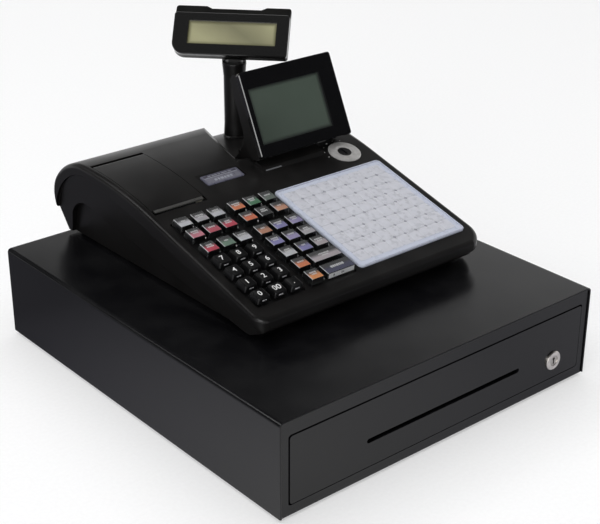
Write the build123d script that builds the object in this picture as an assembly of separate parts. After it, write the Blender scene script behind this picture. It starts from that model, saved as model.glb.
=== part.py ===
from build123d import *
import math
import os

# Electronic cash register standing on a steel cash drawer.
# Units are millimetres. +Z is up, the drawer opens towards -Y, and the origin is
# the bottom centre of the whole object's box.

os.makedirs("parts", exist_ok=True)

# ---------------------------------------------------------------- cabinet sizes
cabinet_width = 400.0
cabinet_depth = 450.0
cabinet_height = 96.0
cabinet_sheet = 1.2
cover_bend = 4.0
cabinet_foot_height = 4.0
cabinet_foot_radius = 11.0
cabinet_foot_inset = 32.0
pan_flange_height = 14.0
cable_hole_radius = 6.0

frame_setback = 0.6
frame_bottom_lift = 1.2
opening_bottom = 13.6
opening_head = 15.4
opening_side = 10.0
opening_corner = 3.0

# ---------------------------------------------------------------- drawer sizes
front_gap = 1.4
front_sheet = 1.5
front_return = 16.0
slot_length = 200.0
slot_height = 4.8
slot_z = 42.0
chute_wall = 1.0
chute_margin = 2.0
stud_radius = 4.0
stud_side_inset = 11.0
stud_low_inset = 9.0
stud_high_inset = 8.0

rail_room = 13.0
box_rear_room = 29.0
box_top_room = 8.6
box_bottom = 16.0
box_sheet = 1.0
box_slot_margin = 3.0
ledge_height = 16.0
ledge_width = 8.0

rail_height = 32.0
rail_z = 48.0
rail_sheet = 1.2
rail_lip = 9.0
rail_fit = 0.5
fixed_rail_start = 22.0
fixed_rail_room = 20.0
moving_rail_start = 20.0
moving_rail_room = 5.0
rail_tab_length = 18.0
rail_tab_height = 22.0
rail_tab_count = 3

lock_inset = 49.8
lock_z = 35.0
lock_ring_radius = 10.0
lock_proud = 2.0
lock_barrel_radius = 7.9
lock_barrel_length = 12.0
lock_hole_fit = 0.1
plug_radius = 5.5
plug_fit = 0.06
plug_recess = 0.5
keyhole_width = 1.8
keyhole_length = 7.5
keyhole_depth = 7.0
cam_length = 25.0
cam_width = 9.0
cam_thickness = 1.6
cam_gap = 0.6
cam_slot_fit = 1.2
cam_catch_gap = 1.2
cam_level_fit = 0.5

till_side_gap = 1.2
till_rear_gap = 4.0
till_top_room = 4.0
till_wall = 2.0
till_floor = 2.4
till_corner = 5.0
till_front_gap = 30.0
bay_count = 4
bay_bar = 8.0
clip_pivot_drop = 7.6
clip_pivot_inset = 10.0
clip_ear_span = 40.0
clip_ear_thickness = 4.0
clip_ear_radius = 6.0
clip_pin_radius = 2.5
clip_pin_fit = 0.08
clip_reach = 108.0
clip_rest_height = 7.0
clip_bend = 16.0
clip_bend_rise = 3.0
clip_width = 15.0
clip_thickness = 3.0
clip_tip_radius = 4.0
clip_tip_length = 34.0
clip_side_gap = 0.5

coin_tray_length = 150.0
coin_tray_fit = 1.0
coin_tray_drop = 3.6
coin_columns = 4
coin_rows = 2
coin_wall = 2.0
coin_floor = 2.0

solenoid_length = 30.0
solenoid_width = 18.0
solenoid_height = 20.0
solenoid_sheet = 1.6
solenoid_x = 26.0
solenoid_rear_gap = 3.0
coil_radius = 7.0
coil_seat = 0.6
plunger_radius = 3.0
plunger_reach = 3.0
latch_pivot_x = 0.0
latch_pivot_z = 15.0
latch_pin_radius = 2.0
latch_pin_fit = 0.08
latch_thickness = 2.5
latch_room = 6.5
latch_arm = 30.0
latch_width = 8.0
latch_hook = 4.0
latch_hook_height = 12.0
latch_post_gap = 0.6
latch_post_depth = 5.0
striker_z = 37.0
striker_room = 3.0
striker_width = 20.0
striker_sheet = 2.0
striker_lip = 7.5
striker_flange = 12.0

# ---------------------------------------------------------------- register sizes
register_width = 296.5
register_offset_x = 15.25
case_rear_inset = 17.0
deck_angle = 15.0
lip_z = 14.5
front_rise = 13.7
front_lean = 1.5
deck_run = 180.0
crest_radius = 456.0
rear_radius = 74.0
rear_sweep = 50.0
tail_radius = 34.0
tail_sweep = 121.0
underside_z = 2.5
underside_start = 26.0
front_corner_left = 15.0
front_corner_right = 26.0
edge_round = 5.0
case_wall = 2.5
seam_front_z = 18.2
seam_angle = 12.7
seam_turn_y = 262.0
seam_crest_y = 288.0
seam_rear_radius = 66.5
seam_rear_sweep = 72.0
seam_right_crest_z = 66.5
seam_right_blend = 60.0
seam_split_x = 0.0
lower_taper = 6.0
lower_taper_height = 82.0
seam_gap = 0.8
seam_step = 0.8
lip_overlap = 4.0
lip_thickness = 1.4
lip_clearance = 0.3
lip_rib_length = 12.0
lip_rib_places = (60.0, 150.0, 240.0)

arch_peak_y = 290.0
arch_peak_z = 46.0
arch_front_y = 34.0
arch_turn_y = 312.0
arch_turn_z = 43.0
arch_leg_y = 327.0
arch_leg_z = 28.0
arch_foot_y = 335.0
pocket_depth = 11.0
case_foot_length = 24.0
case_foot_width = 12.0
case_foot_inset_x = 24.0
case_foot_front_y = 40.0
case_foot_rear_y = 326.0

platform_z = 77.0
platform_start_y = 214.0
platform_flat_y = 238.0
platform_roll_y = 295.0
platform_roll_radius = 72.0
platform_roll_sweep = 62.0
flank_x = 34.75
flank_y = 318.0
flank_turn = 18.0
flank_slope = 42.0
flank_round = 14.0

port_bay_width = 120.0
port_bay_height = 14.0
port_bay_z = 13.0
port_bay_depth = 12.0
port_wall = 2.5
port_depth = 1.75
inlet_x = 43.0
inlet_width = 18.0
inlet_height = 10.0
jack_x = 44.0
jack_width = 12.0
data_port_x = 14.0
data_port_width = 19.0
data_port_height = 8.5
data_port_angle = 80.0

# keys, measured on the sloping deck from the middle of its front edge
key_pitch = 19.7
key_base = 15.8
key_top = 12.8
key_height = 6.2
key_lift = 0.9
key_corner = 1.6
key_dish_radius = 22.0
key_dish = 0.5
key_stem = 5.0
key_stem_fit = 0.4
key_stem_length = 8.0
key_travel = 3.0
left_block_x = -128.4
right_block_x = -64.0
first_row_s = 27.0
upper_rows_gap = 4.1
well_margin = 1.6
well_corner = 2.0
plate_thickness = 2.0
plate_margin = 4.0

pad_width = 145.4
pad_length = 138.6
pad_x = 63.2
pad_s = 88.2
pad_corner = 5.0
pad_proud = 2.0
pad_sunk = 1.2
pad_rim = 3.6
pad_field_drop = 0.5
pad_fit = 0.3

mode_x = 112.45
mode_s = 186.0
mode_ring_radius = 18.2
mode_ring_height = 1.8
mode_seat_radius = 8.6
mode_barrel_radius = 12.0
mode_barrel_length = 18.0
mode_bore_radius = 7.7
mode_rotor_fit = 0.08
mode_hole_fit = 0.3
mode_key_width = 2.2
mode_key_length = 9.0
mode_key_depth = 8.0
mode_flange_height = 0.9

window_x = -38.75
window_s = 205.5
window_width = 46.5
window_length = 16.0
window_thickness = 1.2
recess_x = -39.2
recess_s = 209.8
recess_width = 52.0
recess_length = 27.0
recess_depth = 1.6
recess_corner = 2.0
window_fit = 0.3

# ---------------------------------------------------------------- printer sizes
cover_x = -109.8
cover_width = 62.8
cover_front_y = 180.0
cover_cut_low = 60.0
cover_cut_high = 120.0
cheek_cut_height = 120.0
cover_hinge_y = 283.0
cover_wall = 2.5
cover_edge_radius = 5.4
cover_gap = 0.6
cover_rib = 6.0
cover_rib_start_y = 203.0
paper_gap = 2.6
hinge_pin_radius = 1.6
hinge_lug_wall = 1.1
hinge_pin_fit = 0.08
lug_depth = 1.9
tear_length = 58.6
tear_depth = 4.4
tear_thickness = 1.2
tear_teeth = 30
tear_tooth = 0.9

cheek_thickness = 1.8
printer_x = -108.0
cheek_inside = 46.0
cheek_top_gap = 1.0
cheek_front_y = 183.5
cheek_rear_y = 287.0
roll_width = 44.5
roll_radius = 35.0
roll_core_radius = 6.0
roll_core_wall = 1.2
roll_y = 236.0
roll_z = 45.0
cradle_gap = 0.3
cradle_wall = 1.6
cradle_half_angle = 50.0

platen_y = 187.5
platen_z = 65.0
platen_radius = 5.2
platen_length = 44.0
platen_shaft_radius = 2.0
shaft_fit = 0.08
gear_module = 0.7
gear_teeth = 24
pinion_teeth = 12
gear_width = 4.0
gear_cheek_gap = 0.8
gear_backlash = 0.16
gear_pressure_angle = 20.0
pinion_direction = -50.0
motor_radius = 10.0
motor_length = 16.0
motor_gear_gap = 1.2
motor_post_radius = 1.8
motor_post_offset = 8.0
motor_shaft_radius = 1.0

# ---------------------------------------------------------------- display sizes
display_x = 67.25
display_width = 125.0
display_height = 92.0
display_lean = 25.5
display_bottom_y = 188.2
display_bottom_z = 92.4
bezel_depth = 6.0
back_depth_bottom = 22.0
back_depth_top = 17.0
back_heel_up = 9.0
back_heel_depth = 12.0
back_top_round = 8.0
shell_wall = 2.0
shell_corner = 3.0
shell_edge = 0.8
lcd_width = 96.5
lcd_height = 60.0
lcd_left = 6.2
lcd_bottom = 13.4
lcd_recess = 0.9
lcd_thickness = 2.4
lcd_margin = 2.0
hinge_depth = 20.5
hinge_up = 17.0
ear_spacing = 108.0
ear_thickness = 9.0
ear_nose_radius = 12.0
ear_back_radius = 16.5
ear_notch_gap = 0.8
display_pin_radius = 3.0
display_pin_fit = 0.08
display_pin_length = 5.0
bracket_base_y = 241.0
bracket_bar_y = 224.0
bracket_bar_height = 9.0
plinth_front_y = 186.0
plinth_left_x = 6.0
plinth_right_x = 89.0
plinth_height = 4.0
plinth_rear_y = 204.0
plinth_slope = 3.0

pole_x = 53.75
pole_y = 298.0
pole_width = 24.0
pole_thickness = 20.0
pole_top_z = 160.0
pole_collar_radius = 13.4
pole_collar_height = 1.6
pole_spigot_radius = 9.0
pole_spigot_length = 22.0
pole_spigot_fit = 0.08
pole_seat_gap = 0.3
pole_sleeve_wall = 2.5
pole_flare = 1.3
pole_flare_height = 14.0

customer_turn = -47.0
customer_lean = 40.0
customer_width = 126.4
customer_height = 49.0
customer_side_shift = -3.3
customer_front_depth = 5.0
customer_back_depth = 8.0
customer_corner = 3.0
customer_big_corner = 14.0
customer_crown = 11.0
customer_crown_depth = 3.0
customer_notch_width = 66.0
customer_notch_depth = 3.2
customer_notch_slope = 6.0
customer_lcd_width = 96.4
customer_lcd_height = 27.3
customer_lcd_x = 1.5
customer_lcd_up = 1.3
customer_axis_z = 168.8
customer_axis_behind = 21.0
customer_axis_below = 14.4
customer_axis_setback = 3.8
tongue_radius = 6.0
tongue_thickness = 12.0
knuckle_thickness = 6.0
knuckle_gap = 0.4
knuckle_pin_radius = 2.5
knuckle_pin_fit = 0.08

# ---------------------------------------------------------------- worked-out places
roof_z = cabinet_foot_height + cabinet_height
opening_width = cabinet_width - 2 * opening_side
opening_height = roof_z - opening_head - opening_bottom
box_width = opening_width - 2 * rail_room
box_depth = cabinet_depth - front_return - box_rear_room
box_height = opening_bottom + opening_height - box_top_room - box_bottom
fixed_rail_length = cabinet_depth - fixed_rail_start - fixed_rail_room
moving_rail_length = front_return + box_depth - moving_rail_start - moving_rail_room
lock_x = cabinet_width / 2 - lock_inset
register_setback = cabinet_depth - case_rear_inset - case_foot_rear_y
sin_deck = math.sin(math.radians(deck_angle))
cos_deck = math.cos(math.radians(deck_angle))


def polar(centre, radius, angle):
    """Point at an angle, in degrees from straight up towards the rear, about a centre."""
    turn = math.radians(angle)
    return (centre[0] + radius * math.sin(turn), centre[1] + radius * math.cos(turn))


deck_start = (front_lean, lip_z + front_rise)
deck_end = (deck_start[0] + deck_run * cos_deck, deck_start[1] + deck_run * sin_deck)
crest_centre = (deck_end[0] + crest_radius * sin_deck, deck_end[1] - crest_radius * cos_deck)
crest = (crest_centre[0], crest_centre[1] + crest_radius)
rear_centre = (crest[0], crest[1] - rear_radius)
tail_centre = polar(rear_centre, rear_radius - tail_radius, rear_sweep)
register_depth = tail_centre[0] + tail_radius


def surface_z(y):
    """Height of the register's crest arc above its foot plane at a depth y."""
    return crest_centre[1] + math.sqrt(crest_radius ** 2 - (y - crest_centre[0]) ** 2)


def block(x0, x1, y0, y1, z0, z1):
    """Box between two corners."""
    size = (x1 - x0, y1 - y0, z1 - z0)
    return Location((x0, y0, z0)) * Box(*size, align=(Align.MIN, Align.MIN, Align.MIN))


def rod_x(x0, x1, y, z, radius):
    """Cylinder along X between two x values."""
    face = Plane((x0, y, z), x_dir=(0, 1, 0), z_dir=(1, 0, 0)) * Circle(radius)
    return extrude(face, x1 - x0)


def rod_y(x, y0, y1, z, radius):
    """Cylinder along Y between two y values."""
    face = Plane((x, y0, z), x_dir=(-1, 0, 0), z_dir=(0, 1, 0)) * Circle(radius)
    return extrude(face, y1 - y0)


def rod_z(x, y, z0, z1, radius):
    """Upright cylinder between two z values."""
    return extrude(Pos(x, y, z0) * Circle(radius), z1 - z0)


def side_face(points_and_edges):
    """Face in the YZ plane from a closed run of edges drawn as (depth, height)."""
    return Plane.YZ * make_face(Curve() + points_and_edges)


def across(face, x0, x1):
    """A YZ face extruded from x0 to x1."""
    return Pos(x0, 0, 0) * extrude(face, x1 - x0)


def rounded_box(x0, x1, y0, y1, z0, z1, corner):
    """Box with rounded upright corners."""
    shape = RectangleRounded(x1 - x0, y1 - y0, corner)
    return extrude(Pos((x0 + x1) / 2, (y0 + y1) / 2, z0) * shape, z1 - z0)


def front_panel(width, bottom, height, corner, y0, y1):
    """Upright plate with rounded corners, facing the front."""
    shape = RectangleRounded(width, height, corner)
    face = Plane((0, y0, bottom + height / 2), x_dir=(-1, 0, 0), z_dir=(0, 1, 0)) * shape
    return extrude(face, y1 - y0)


def solids_of(*shapes):
    """Several separate solids as one node."""
    found = []
    for shape in shapes:
        found.extend(shape.solids())
    return Compound(children=found)


# ---------------------------------------------------------------- cabinet
def end_plate(half, low, high, y0, y1):
    """Upright plate across the cabinet whose top corners follow the cover's bends."""
    corner = cover_bend
    top = front_panel(2 * half, high - 4 * corner, 4 * corner, corner, y0, y1)
    return top + block(-half, half, y0, y1, low, high - 2 * corner)


def cabinet_cover():
    """Roof and both sides, folded from one sheet with rolled long edges."""
    inner_bend = cover_bend - cabinet_sheet
    height = cabinet_height + cover_bend
    outer = Plane.XZ * Pos(0, cabinet_foot_height + cabinet_height - height / 2)
    outer = outer * RectangleRounded(cabinet_width, height, cover_bend)
    inner_width = cabinet_width - 2 * cabinet_sheet
    inner_height = height - cabinet_sheet
    inner = Plane.XZ * Pos(0, roof_z - cabinet_sheet - inner_height / 2)
    inner = inner * RectangleRounded(inner_width, inner_height + inner_bend, inner_bend)
    inner = Pos(0, 0, -inner_bend / 2) * inner
    skin = extrude(outer, -cabinet_depth) - extrude(inner, -cabinet_depth)
    return skin - block(-cabinet_width, cabinet_width, -1, cabinet_depth + 1, -50, cabinet_foot_height)


def base_pan():
    """Floor, rear wall and side flanges of the cabinet, folded from one sheet."""
    half = cabinet_width / 2 - cabinet_sheet
    floor_z = cabinet_foot_height
    start = frame_setback
    pan = block(-half, half, start, cabinet_depth, floor_z, floor_z + cabinet_sheet)
    rear_top = roof_z - cabinet_sheet
    rear = end_plate(half, floor_z, rear_top, cabinet_depth - cabinet_sheet, cabinet_depth)
    pan = pan + rear
    flange_start = start + cabinet_sheet
    for side in (-1, 1):
        edge = min(side * half, side * (half - cabinet_sheet))
        pan = pan + block(edge, edge + cabinet_sheet, flange_start, cabinet_depth,
                          floor_z, floor_z + pan_flange_height)
    hole_x = -cabinet_width / 4
    hole = rod_y(hole_x, cabinet_depth - 5, cabinet_depth + 5, roof_z / 2, cable_hole_radius)
    return pan - hole


def front_frame():
    """Picture-frame front of the cabinet; the lock's cam catches behind its inturned edge."""
    bottom = cabinet_foot_height + frame_bottom_lift
    top = roof_z - cabinet_sheet
    half = cabinet_width / 2 - cabinet_sheet
    face = end_plate(half, bottom, top, frame_setback, frame_setback + cabinet_sheet)
    reach = lock_barrel_length + cam_gap - cam_catch_gap
    sleeve = front_panel(opening_width + 2 * cabinet_sheet, opening_bottom - cabinet_sheet,
                         opening_height + 2 * cabinet_sheet, opening_corner + cabinet_sheet,
                         frame_setback, reach)
    hole = front_panel(opening_width, opening_bottom, opening_height, opening_corner, -1, reach + 1)
    return face + sleeve - hole


def cabinet_foot(x, y):
    """Tapered rubber foot with a screw recess."""
    foot = Pos(x, y, 0) * Cone(cabinet_foot_radius - 1, cabinet_foot_radius, cabinet_foot_height,
                               align=(Align.CENTER, Align.CENTER, Align.MIN))
    return foot - rod_z(x, y, -1, cabinet_foot_height / 2, cabinet_foot_radius / 3)


def case_foot(x, y):
    """Long rubber pad under a corner of the register."""
    return rounded_box(x - case_foot_width / 2, x + case_foot_width / 2,
                       y - case_foot_length / 2, y + case_foot_length / 2,
                       0, underside_z + seam_step, case_foot_width / 2 - 0.5)


def rubber_feet():
    """Four cabinet feet and four register pads."""
    feet = []
    x_far = cabinet_width / 2 - cabinet_foot_inset
    pad_x_far = register_width / 2 - case_foot_inset_x
    for side in (-1, 1):
        for y in (cabinet_foot_inset, cabinet_depth - cabinet_foot_inset):
            feet.append(CABINET * cabinet_foot(side * x_far, y))
        for y in (case_foot_front_y, case_foot_rear_y):
            feet.append(REGISTER * case_foot(side * pad_x_far, y))
    return solids_of(*feet)


# ---------------------------------------------------------------- rails
moving_web_x = box_width / 2
fixed_web_x = opening_width / 2


def fixed_rail(side):
    """C-section rail on spacer tabs, screwed to the cabinet's side."""
    y0 = fixed_rail_start
    y1 = y0 + fixed_rail_length
    low = rail_z - rail_height / 2
    high = rail_z + rail_height / 2
    outer = block(fixed_web_x - rail_lip, fixed_web_x + rail_sheet, y0, y1, low, high)
    inner = block(fixed_web_x - rail_lip - 1, fixed_web_x, y0 - 1, y1 + 1,
                  low + rail_sheet, high - rail_sheet)
    rail = outer - inner
    wall_x = cabinet_width / 2 - cabinet_sheet
    step = (fixed_rail_length - rail_tab_length) / (rail_tab_count - 1)
    for index in range(rail_tab_count):
        start = y0 + index * step
        tab = block(fixed_web_x + rail_sheet, wall_x, start, start + rail_tab_length,
                    rail_z - rail_tab_height / 2, rail_z + rail_tab_height / 2)
        hollow = block(fixed_web_x + 2 * rail_sheet, wall_x - rail_sheet, start - 1,
                       start + rail_tab_length + 1,
                       rail_z - rail_tab_height / 2 + rail_sheet,
                       rail_z + rail_tab_height / 2 - rail_sheet)
        rail = rail + (tab - hollow)
    return rail if side > 0 else mirror(rail, Plane.YZ)


def moving_rail(side):
    """Channel on the drawer box that runs inside the fixed rail."""
    y0 = moving_rail_start
    y1 = y0 + moving_rail_length
    half = rail_height / 2 - rail_sheet - rail_fit
    outer = block(moving_web_x, fixed_web_x - rail_fit, y0, y1, rail_z - half, rail_z + half)
    inner = block(moving_web_x + rail_sheet, fixed_web_x, y0 - 1, y1 + 1,
                  rail_z - half + rail_sheet, rail_z + half - rail_sheet)
    rail = outer - inner
    return rail if side > 0 else mirror(rail, Plane.YZ)


# ---------------------------------------------------------------- drawer
front_width = opening_width - 2 * front_gap
front_height = opening_height - 2 * front_gap
front_bottom = opening_bottom + front_gap
box_front_y = front_return
box_rear_y = box_front_y + box_depth
latch_y = box_rear_y + latch_room


def slot_cutter(margin, y0, y1):
    """Long round-ended hole for the media slot."""
    length = slot_length + 2 * margin
    height = slot_height + 2 * margin
    face = Plane((0, y0, slot_z), x_dir=(-1, 0, 0), z_dir=(0, 1, 0))
    return extrude(face * SlotOverall(length, height), y1 - y0)


def cam_slot(level, y0, y1, z0, z1):
    """Hole through a plate for the cam as it swings down past the plate's upper level."""
    drop = lock_z - level - cam_level_fit
    sweep = math.sqrt(max(cam_length ** 2 - drop ** 2, (cam_width / 2) ** 2))
    return block(lock_x - sweep - cam_slot_fit, lock_x + cam_width / 2 + cam_slot_fit, y0, y1, z0, z1)


def drawer_front():
    """Folded front panel with its media slot, chute and lock hole."""
    panel = front_panel(front_width, front_bottom, front_height, opening_corner, 0, front_return)
    hollow = front_panel(front_width - 2 * front_sheet, front_bottom + front_sheet,
                         front_height - 2 * front_sheet, opening_corner - front_sheet,
                         front_sheet, front_return + 1)
    panel = panel - hollow
    panel = panel + slot_cutter(chute_margin + chute_wall, front_sheet, front_return)
    for side in (-1, 1):
        for z in (box_bottom + stud_low_inset, box_bottom + box_height - stud_high_inset):
            panel = panel + rod_y(side * (box_width / 2 - stud_side_inset), front_sheet, front_return, z, stud_radius)
    panel = panel - slot_cutter(chute_margin, front_sheet, front_return + 1)
    panel = panel - slot_cutter(0, -1, front_sheet + 1)
    hole_radius = lock_barrel_radius + lock_hole_fit
    panel = panel - rod_y(lock_x, -1, front_sheet + 1, lock_z, hole_radius)
    cam_y = lock_barrel_length + cam_gap
    return panel - cam_slot(front_bottom + front_sheet, cam_y - cam_slot_fit, front_return + 1,
                            front_bottom - 1, front_bottom + front_sheet + 1)


def drawer_box():
    """Open steel tray with ledges for the till."""
    half = box_width / 2
    top = box_bottom + box_height
    tray = block(-half, half, box_front_y, box_rear_y, box_bottom, top)
    tray = tray - block(-half + box_sheet, half - box_sheet, box_front_y + box_sheet,
                        box_rear_y - box_sheet, box_bottom + box_sheet, top + 1)
    ledge_z = box_bottom + ledge_height
    for side in (-1, 1):
        wall = side * (half - box_sheet)
        inner = wall - side * ledge_width
        x0 = min(wall, inner)
        x1 = max(wall, inner)
        ledge_start = box_front_y + till_front_gap
        ledge = block(x0, x1, ledge_start, box_rear_y - box_sheet, box_bottom + box_sheet, ledge_z)
        under = block(x0 + box_sheet if side > 0 else x0, x1 if side > 0 else x1 - box_sheet,
                      ledge_start - 1, box_rear_y - box_sheet, box_bottom + box_sheet,
                      ledge_z - box_sheet)
        tray = tray + (ledge - under)
    tray = tray - slot_cutter(box_slot_margin, box_front_y - 1, box_front_y + box_sheet + 1)
    return tray


def drawer_striker():
    """Bracket on the drawer box's back whose lip the latch catches."""
    x0 = latch_pivot_x - latch_arm - striker_width / 2
    x1 = x0 + striker_width
    top = striker_z + striker_sheet
    lip_y = latch_y + latch_thickness + striker_room
    flange = block(x0, x1, box_rear_y, box_rear_y + striker_sheet, striker_z, top + striker_flange)
    arm = block(x0, x1, box_rear_y, lip_y + striker_sheet, striker_z, top)
    lip = block(x0, x1, lip_y, lip_y + striker_sheet, striker_z - striker_lip, top)
    return flange + arm + lip


def lock_body():
    """Turned lock barrel with its front ring."""
    body = rod_y(lock_x, -lock_proud, 0, lock_z, lock_ring_radius)
    body = chamfer(body.edges().filter_by(GeomType.CIRCLE).sort_by(Axis.Y)[0], 0.7)
    body = body + rod_y(lock_x, 0, lock_barrel_length, lock_z, lock_barrel_radius)
    return body - rod_y(lock_x, -lock_proud - 1, lock_barrel_length + 1, lock_z,
                        plug_radius + plug_fit)


def lock_plug():
    """Turning plug with a keyhole, and the cam on its tail."""
    face_y = -lock_proud + plug_recess
    cam_y = lock_barrel_length + cam_gap
    plug = rod_y(lock_x, face_y, cam_y, lock_z, plug_radius)
    plug = plug - block(lock_x - keyhole_width / 2, lock_x + keyhole_width / 2, face_y - 1,
                        face_y + keyhole_depth, lock_z - keyhole_length / 2,
                        lock_z + keyhole_length / 2)
    plug = plug - rod_y(lock_x, face_y - 1, face_y + keyhole_depth, lock_z + keyhole_length / 4,
                        keyhole_width * 0.9)
    arm = SlotCenterToCenter(cam_length - cam_width / 2, cam_width)
    middle = lock_x - (cam_length - cam_width / 2) / 2
    face = Plane((middle, cam_y, lock_z), x_dir=(-1, 0, 0), z_dir=(0, 1, 0)) * arm
    return plug + extrude(face, cam_thickness)


# ---------------------------------------------------------------- till
till_half = box_width / 2 - box_sheet - till_side_gap
till_y0 = box_front_y + till_front_gap
till_y1 = box_rear_y - box_sheet - till_rear_gap
till_height = box_height - ledge_height - till_top_room
till_z = box_bottom + ledge_height
bay_floor_z = till_z + till_floor
coin_y1 = till_y0 + till_wall + coin_tray_length + 2 * coin_tray_fit
bay_y0 = coin_y1 + bay_bar
coin_tray_height = till_height - till_floor - coin_tray_drop
bay_pitch = (2 * till_half - till_wall) / bay_count
clip_y = till_y1 - till_wall - clip_pivot_inset
clip_z = till_z + till_height - clip_pivot_drop
clip_drop = clip_z - bay_floor_z - clip_rest_height


def bay_centre(index):
    """Middle of a note bay."""
    return -till_half + till_wall / 2 + bay_pitch * (index + 0.5)


def till_insert():
    """Moulded till: a coin well at the front and note bays behind it."""
    top = till_z + till_height
    tray = rounded_box(-till_half, till_half, till_y0, till_y1, till_z, top, till_corner)
    inner = till_half - till_wall
    tray = tray - rounded_box(-inner, inner, till_y0 + till_wall, coin_y1, bay_floor_z, top + 1,
                              till_corner - till_wall)
    for index in range(bay_count):
        half = (bay_pitch - till_wall) / 2
        x = bay_centre(index)
        tray = tray - rounded_box(x - half, x + half, bay_y0, till_y1 - till_wall, bay_floor_z,
                                  top + 1, till_wall)
    for index in range(bay_count):
        for side in (-1, 1):
            x = bay_centre(index) + side * clip_ear_span / 2
            ear = block(x - clip_ear_thickness / 2, x + clip_ear_thickness / 2,
                        clip_y, till_y1 - till_wall, bay_floor_z, clip_z + clip_ear_radius)
            nose = rod_x(x - clip_ear_thickness / 2, x + clip_ear_thickness / 2, clip_y, clip_z,
                         clip_ear_radius)
            post = block(x - clip_ear_thickness / 2, x + clip_ear_thickness / 2,
                         clip_y - clip_ear_radius, clip_y + 1, bay_floor_z, clip_z)
            tray = tray + ear + nose + post
        x = bay_centre(index)
        bore_half = clip_ear_span / 2 + clip_ear_thickness
        tray = tray - rod_x(x - bore_half, x + bore_half, clip_y, clip_z,
                            clip_pin_radius + clip_pin_fit)
    return tray


def bill_clip(index):
    """Sprung arm with a rounded foot that holds notes down in one bay."""
    x = bay_centre(index)
    hub_half = clip_ear_span / 2 - clip_ear_thickness / 2 - clip_side_gap
    hub = rod_x(x - hub_half, x + hub_half, clip_y, clip_z, clip_pin_radius + 1.5)
    pin_half = clip_ear_span / 2 + clip_ear_thickness / 2
    pin = rod_x(x - pin_half, x + pin_half, clip_y, clip_z, clip_pin_radius)
    tip_y = clip_y - clip_reach
    tip_z = clip_z - clip_drop
    bend_y = tip_y + clip_bend
    bend_z = tip_z + clip_bend_rise
    half = clip_thickness / 2
    outline = Polyline((clip_y, clip_z - half), (bend_y, bend_z - half), (tip_y, tip_z - half),
                       (tip_y, tip_z + half), (bend_y, bend_z + half), (clip_y, clip_z + half),
                       close=True)
    arm = across(side_face([outline]), x - clip_width / 2, x + clip_width / 2)
    tip = rod_x(x - clip_tip_length / 2, x + clip_tip_length / 2, tip_y, tip_z, clip_tip_radius)
    return hub + pin + arm + tip


def coin_tray():
    """Lift-out tray of scooped coin cups."""
    fit = till_half - till_wall - coin_tray_fit
    y0 = till_y0 + till_wall + coin_tray_fit
    y1 = y0 + coin_tray_length
    z0 = bay_floor_z
    top = z0 + coin_tray_height
    tray = rounded_box(-fit, fit, y0, y1, z0, top, till_corner - till_wall)
    cup_width = (2 * fit - coin_wall * (coin_columns + 1)) / coin_columns
    cup_length = (coin_tray_length - coin_wall * (coin_rows + 1)) / coin_rows
    scoop = cup_length / 2
    scoop_z = z0 + coin_floor + scoop
    for column in range(coin_columns):
        x0 = -fit + coin_wall + column * (cup_width + coin_wall)
        for row in range(coin_rows):
            cup_y0 = y0 + coin_wall + row * (cup_length + coin_wall)
            round_part = rod_x(x0, x0 + cup_width, cup_y0 + scoop, scoop_z, scoop)
            tray = tray - round_part
            if scoop_z < top:
                tray = tray - block(x0, x0 + cup_width, cup_y0, cup_y0 + cup_length, scoop_z, top + 1)
    return tray


# ---------------------------------------------------------------- release latch
solenoid_y = cabinet_depth - cabinet_sheet - solenoid_rear_gap - solenoid_width / 2


def latch_solenoid():
    """Pull solenoid in a yoke, with the post and pin that carry the latch lever."""
    z0 = cabinet_foot_height + cabinet_sheet
    x0 = solenoid_x - solenoid_length / 2
    x1 = solenoid_x + solenoid_length / 2
    y0 = solenoid_y - solenoid_width / 2
    y1 = solenoid_y + solenoid_width / 2
    yoke = block(x0, x1, y0, y1, z0, z0 + solenoid_height)
    yoke = yoke - block(x0 + solenoid_sheet, x1 - solenoid_sheet, y0 - 1, y1 + 1,
                        z0 + solenoid_sheet, z0 + solenoid_height + 1)
    coil_z = z0 + solenoid_sheet + coil_radius - coil_seat
    coil = rod_x(x0 + solenoid_sheet, x1 - solenoid_sheet, solenoid_y, coil_z, coil_radius)
    plunger = rod_x(x0 - plunger_reach, x0 + solenoid_sheet, solenoid_y, coil_z, plunger_radius)
    post_y = latch_y + latch_thickness + latch_post_gap
    post_half = latch_pin_radius + 1.5
    post = block(latch_pivot_x - post_half, latch_pivot_x + post_half, post_y,
                 post_y + latch_post_depth, z0, latch_pivot_z + post_half)
    foot = block(latch_pivot_x - post_half, x0 + 1, post_y, post_y + latch_post_depth, z0,
                 z0 + solenoid_sheet)
    pin = rod_y(latch_pivot_x, latch_y - latch_post_gap, post_y + 1, latch_pivot_z, latch_pin_radius)
    return yoke + coil + plunger + post + foot + pin


def latch_lever():
    """Flat lever whose hook rises in front of the striker's lip."""
    middle = latch_pivot_x - latch_arm / 2
    frame = Plane((middle, latch_y, latch_pivot_z), x_dir=(-1, 0, 0), z_dir=(0, 1, 0))
    lever = extrude(frame * SlotCenterToCenter(latch_arm, latch_width), latch_thickness)
    hook_x = latch_pivot_x - latch_arm
    hook = block(hook_x - latch_hook / 2, hook_x + latch_hook / 2, latch_y, latch_y + latch_thickness,
                 latch_pivot_z, latch_pivot_z + latch_hook_height)
    return lever + hook - rod_y(latch_pivot_x, latch_y - 1, latch_y + latch_thickness + 1,
                                latch_pivot_z, latch_pin_radius + latch_pin_fit)


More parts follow.
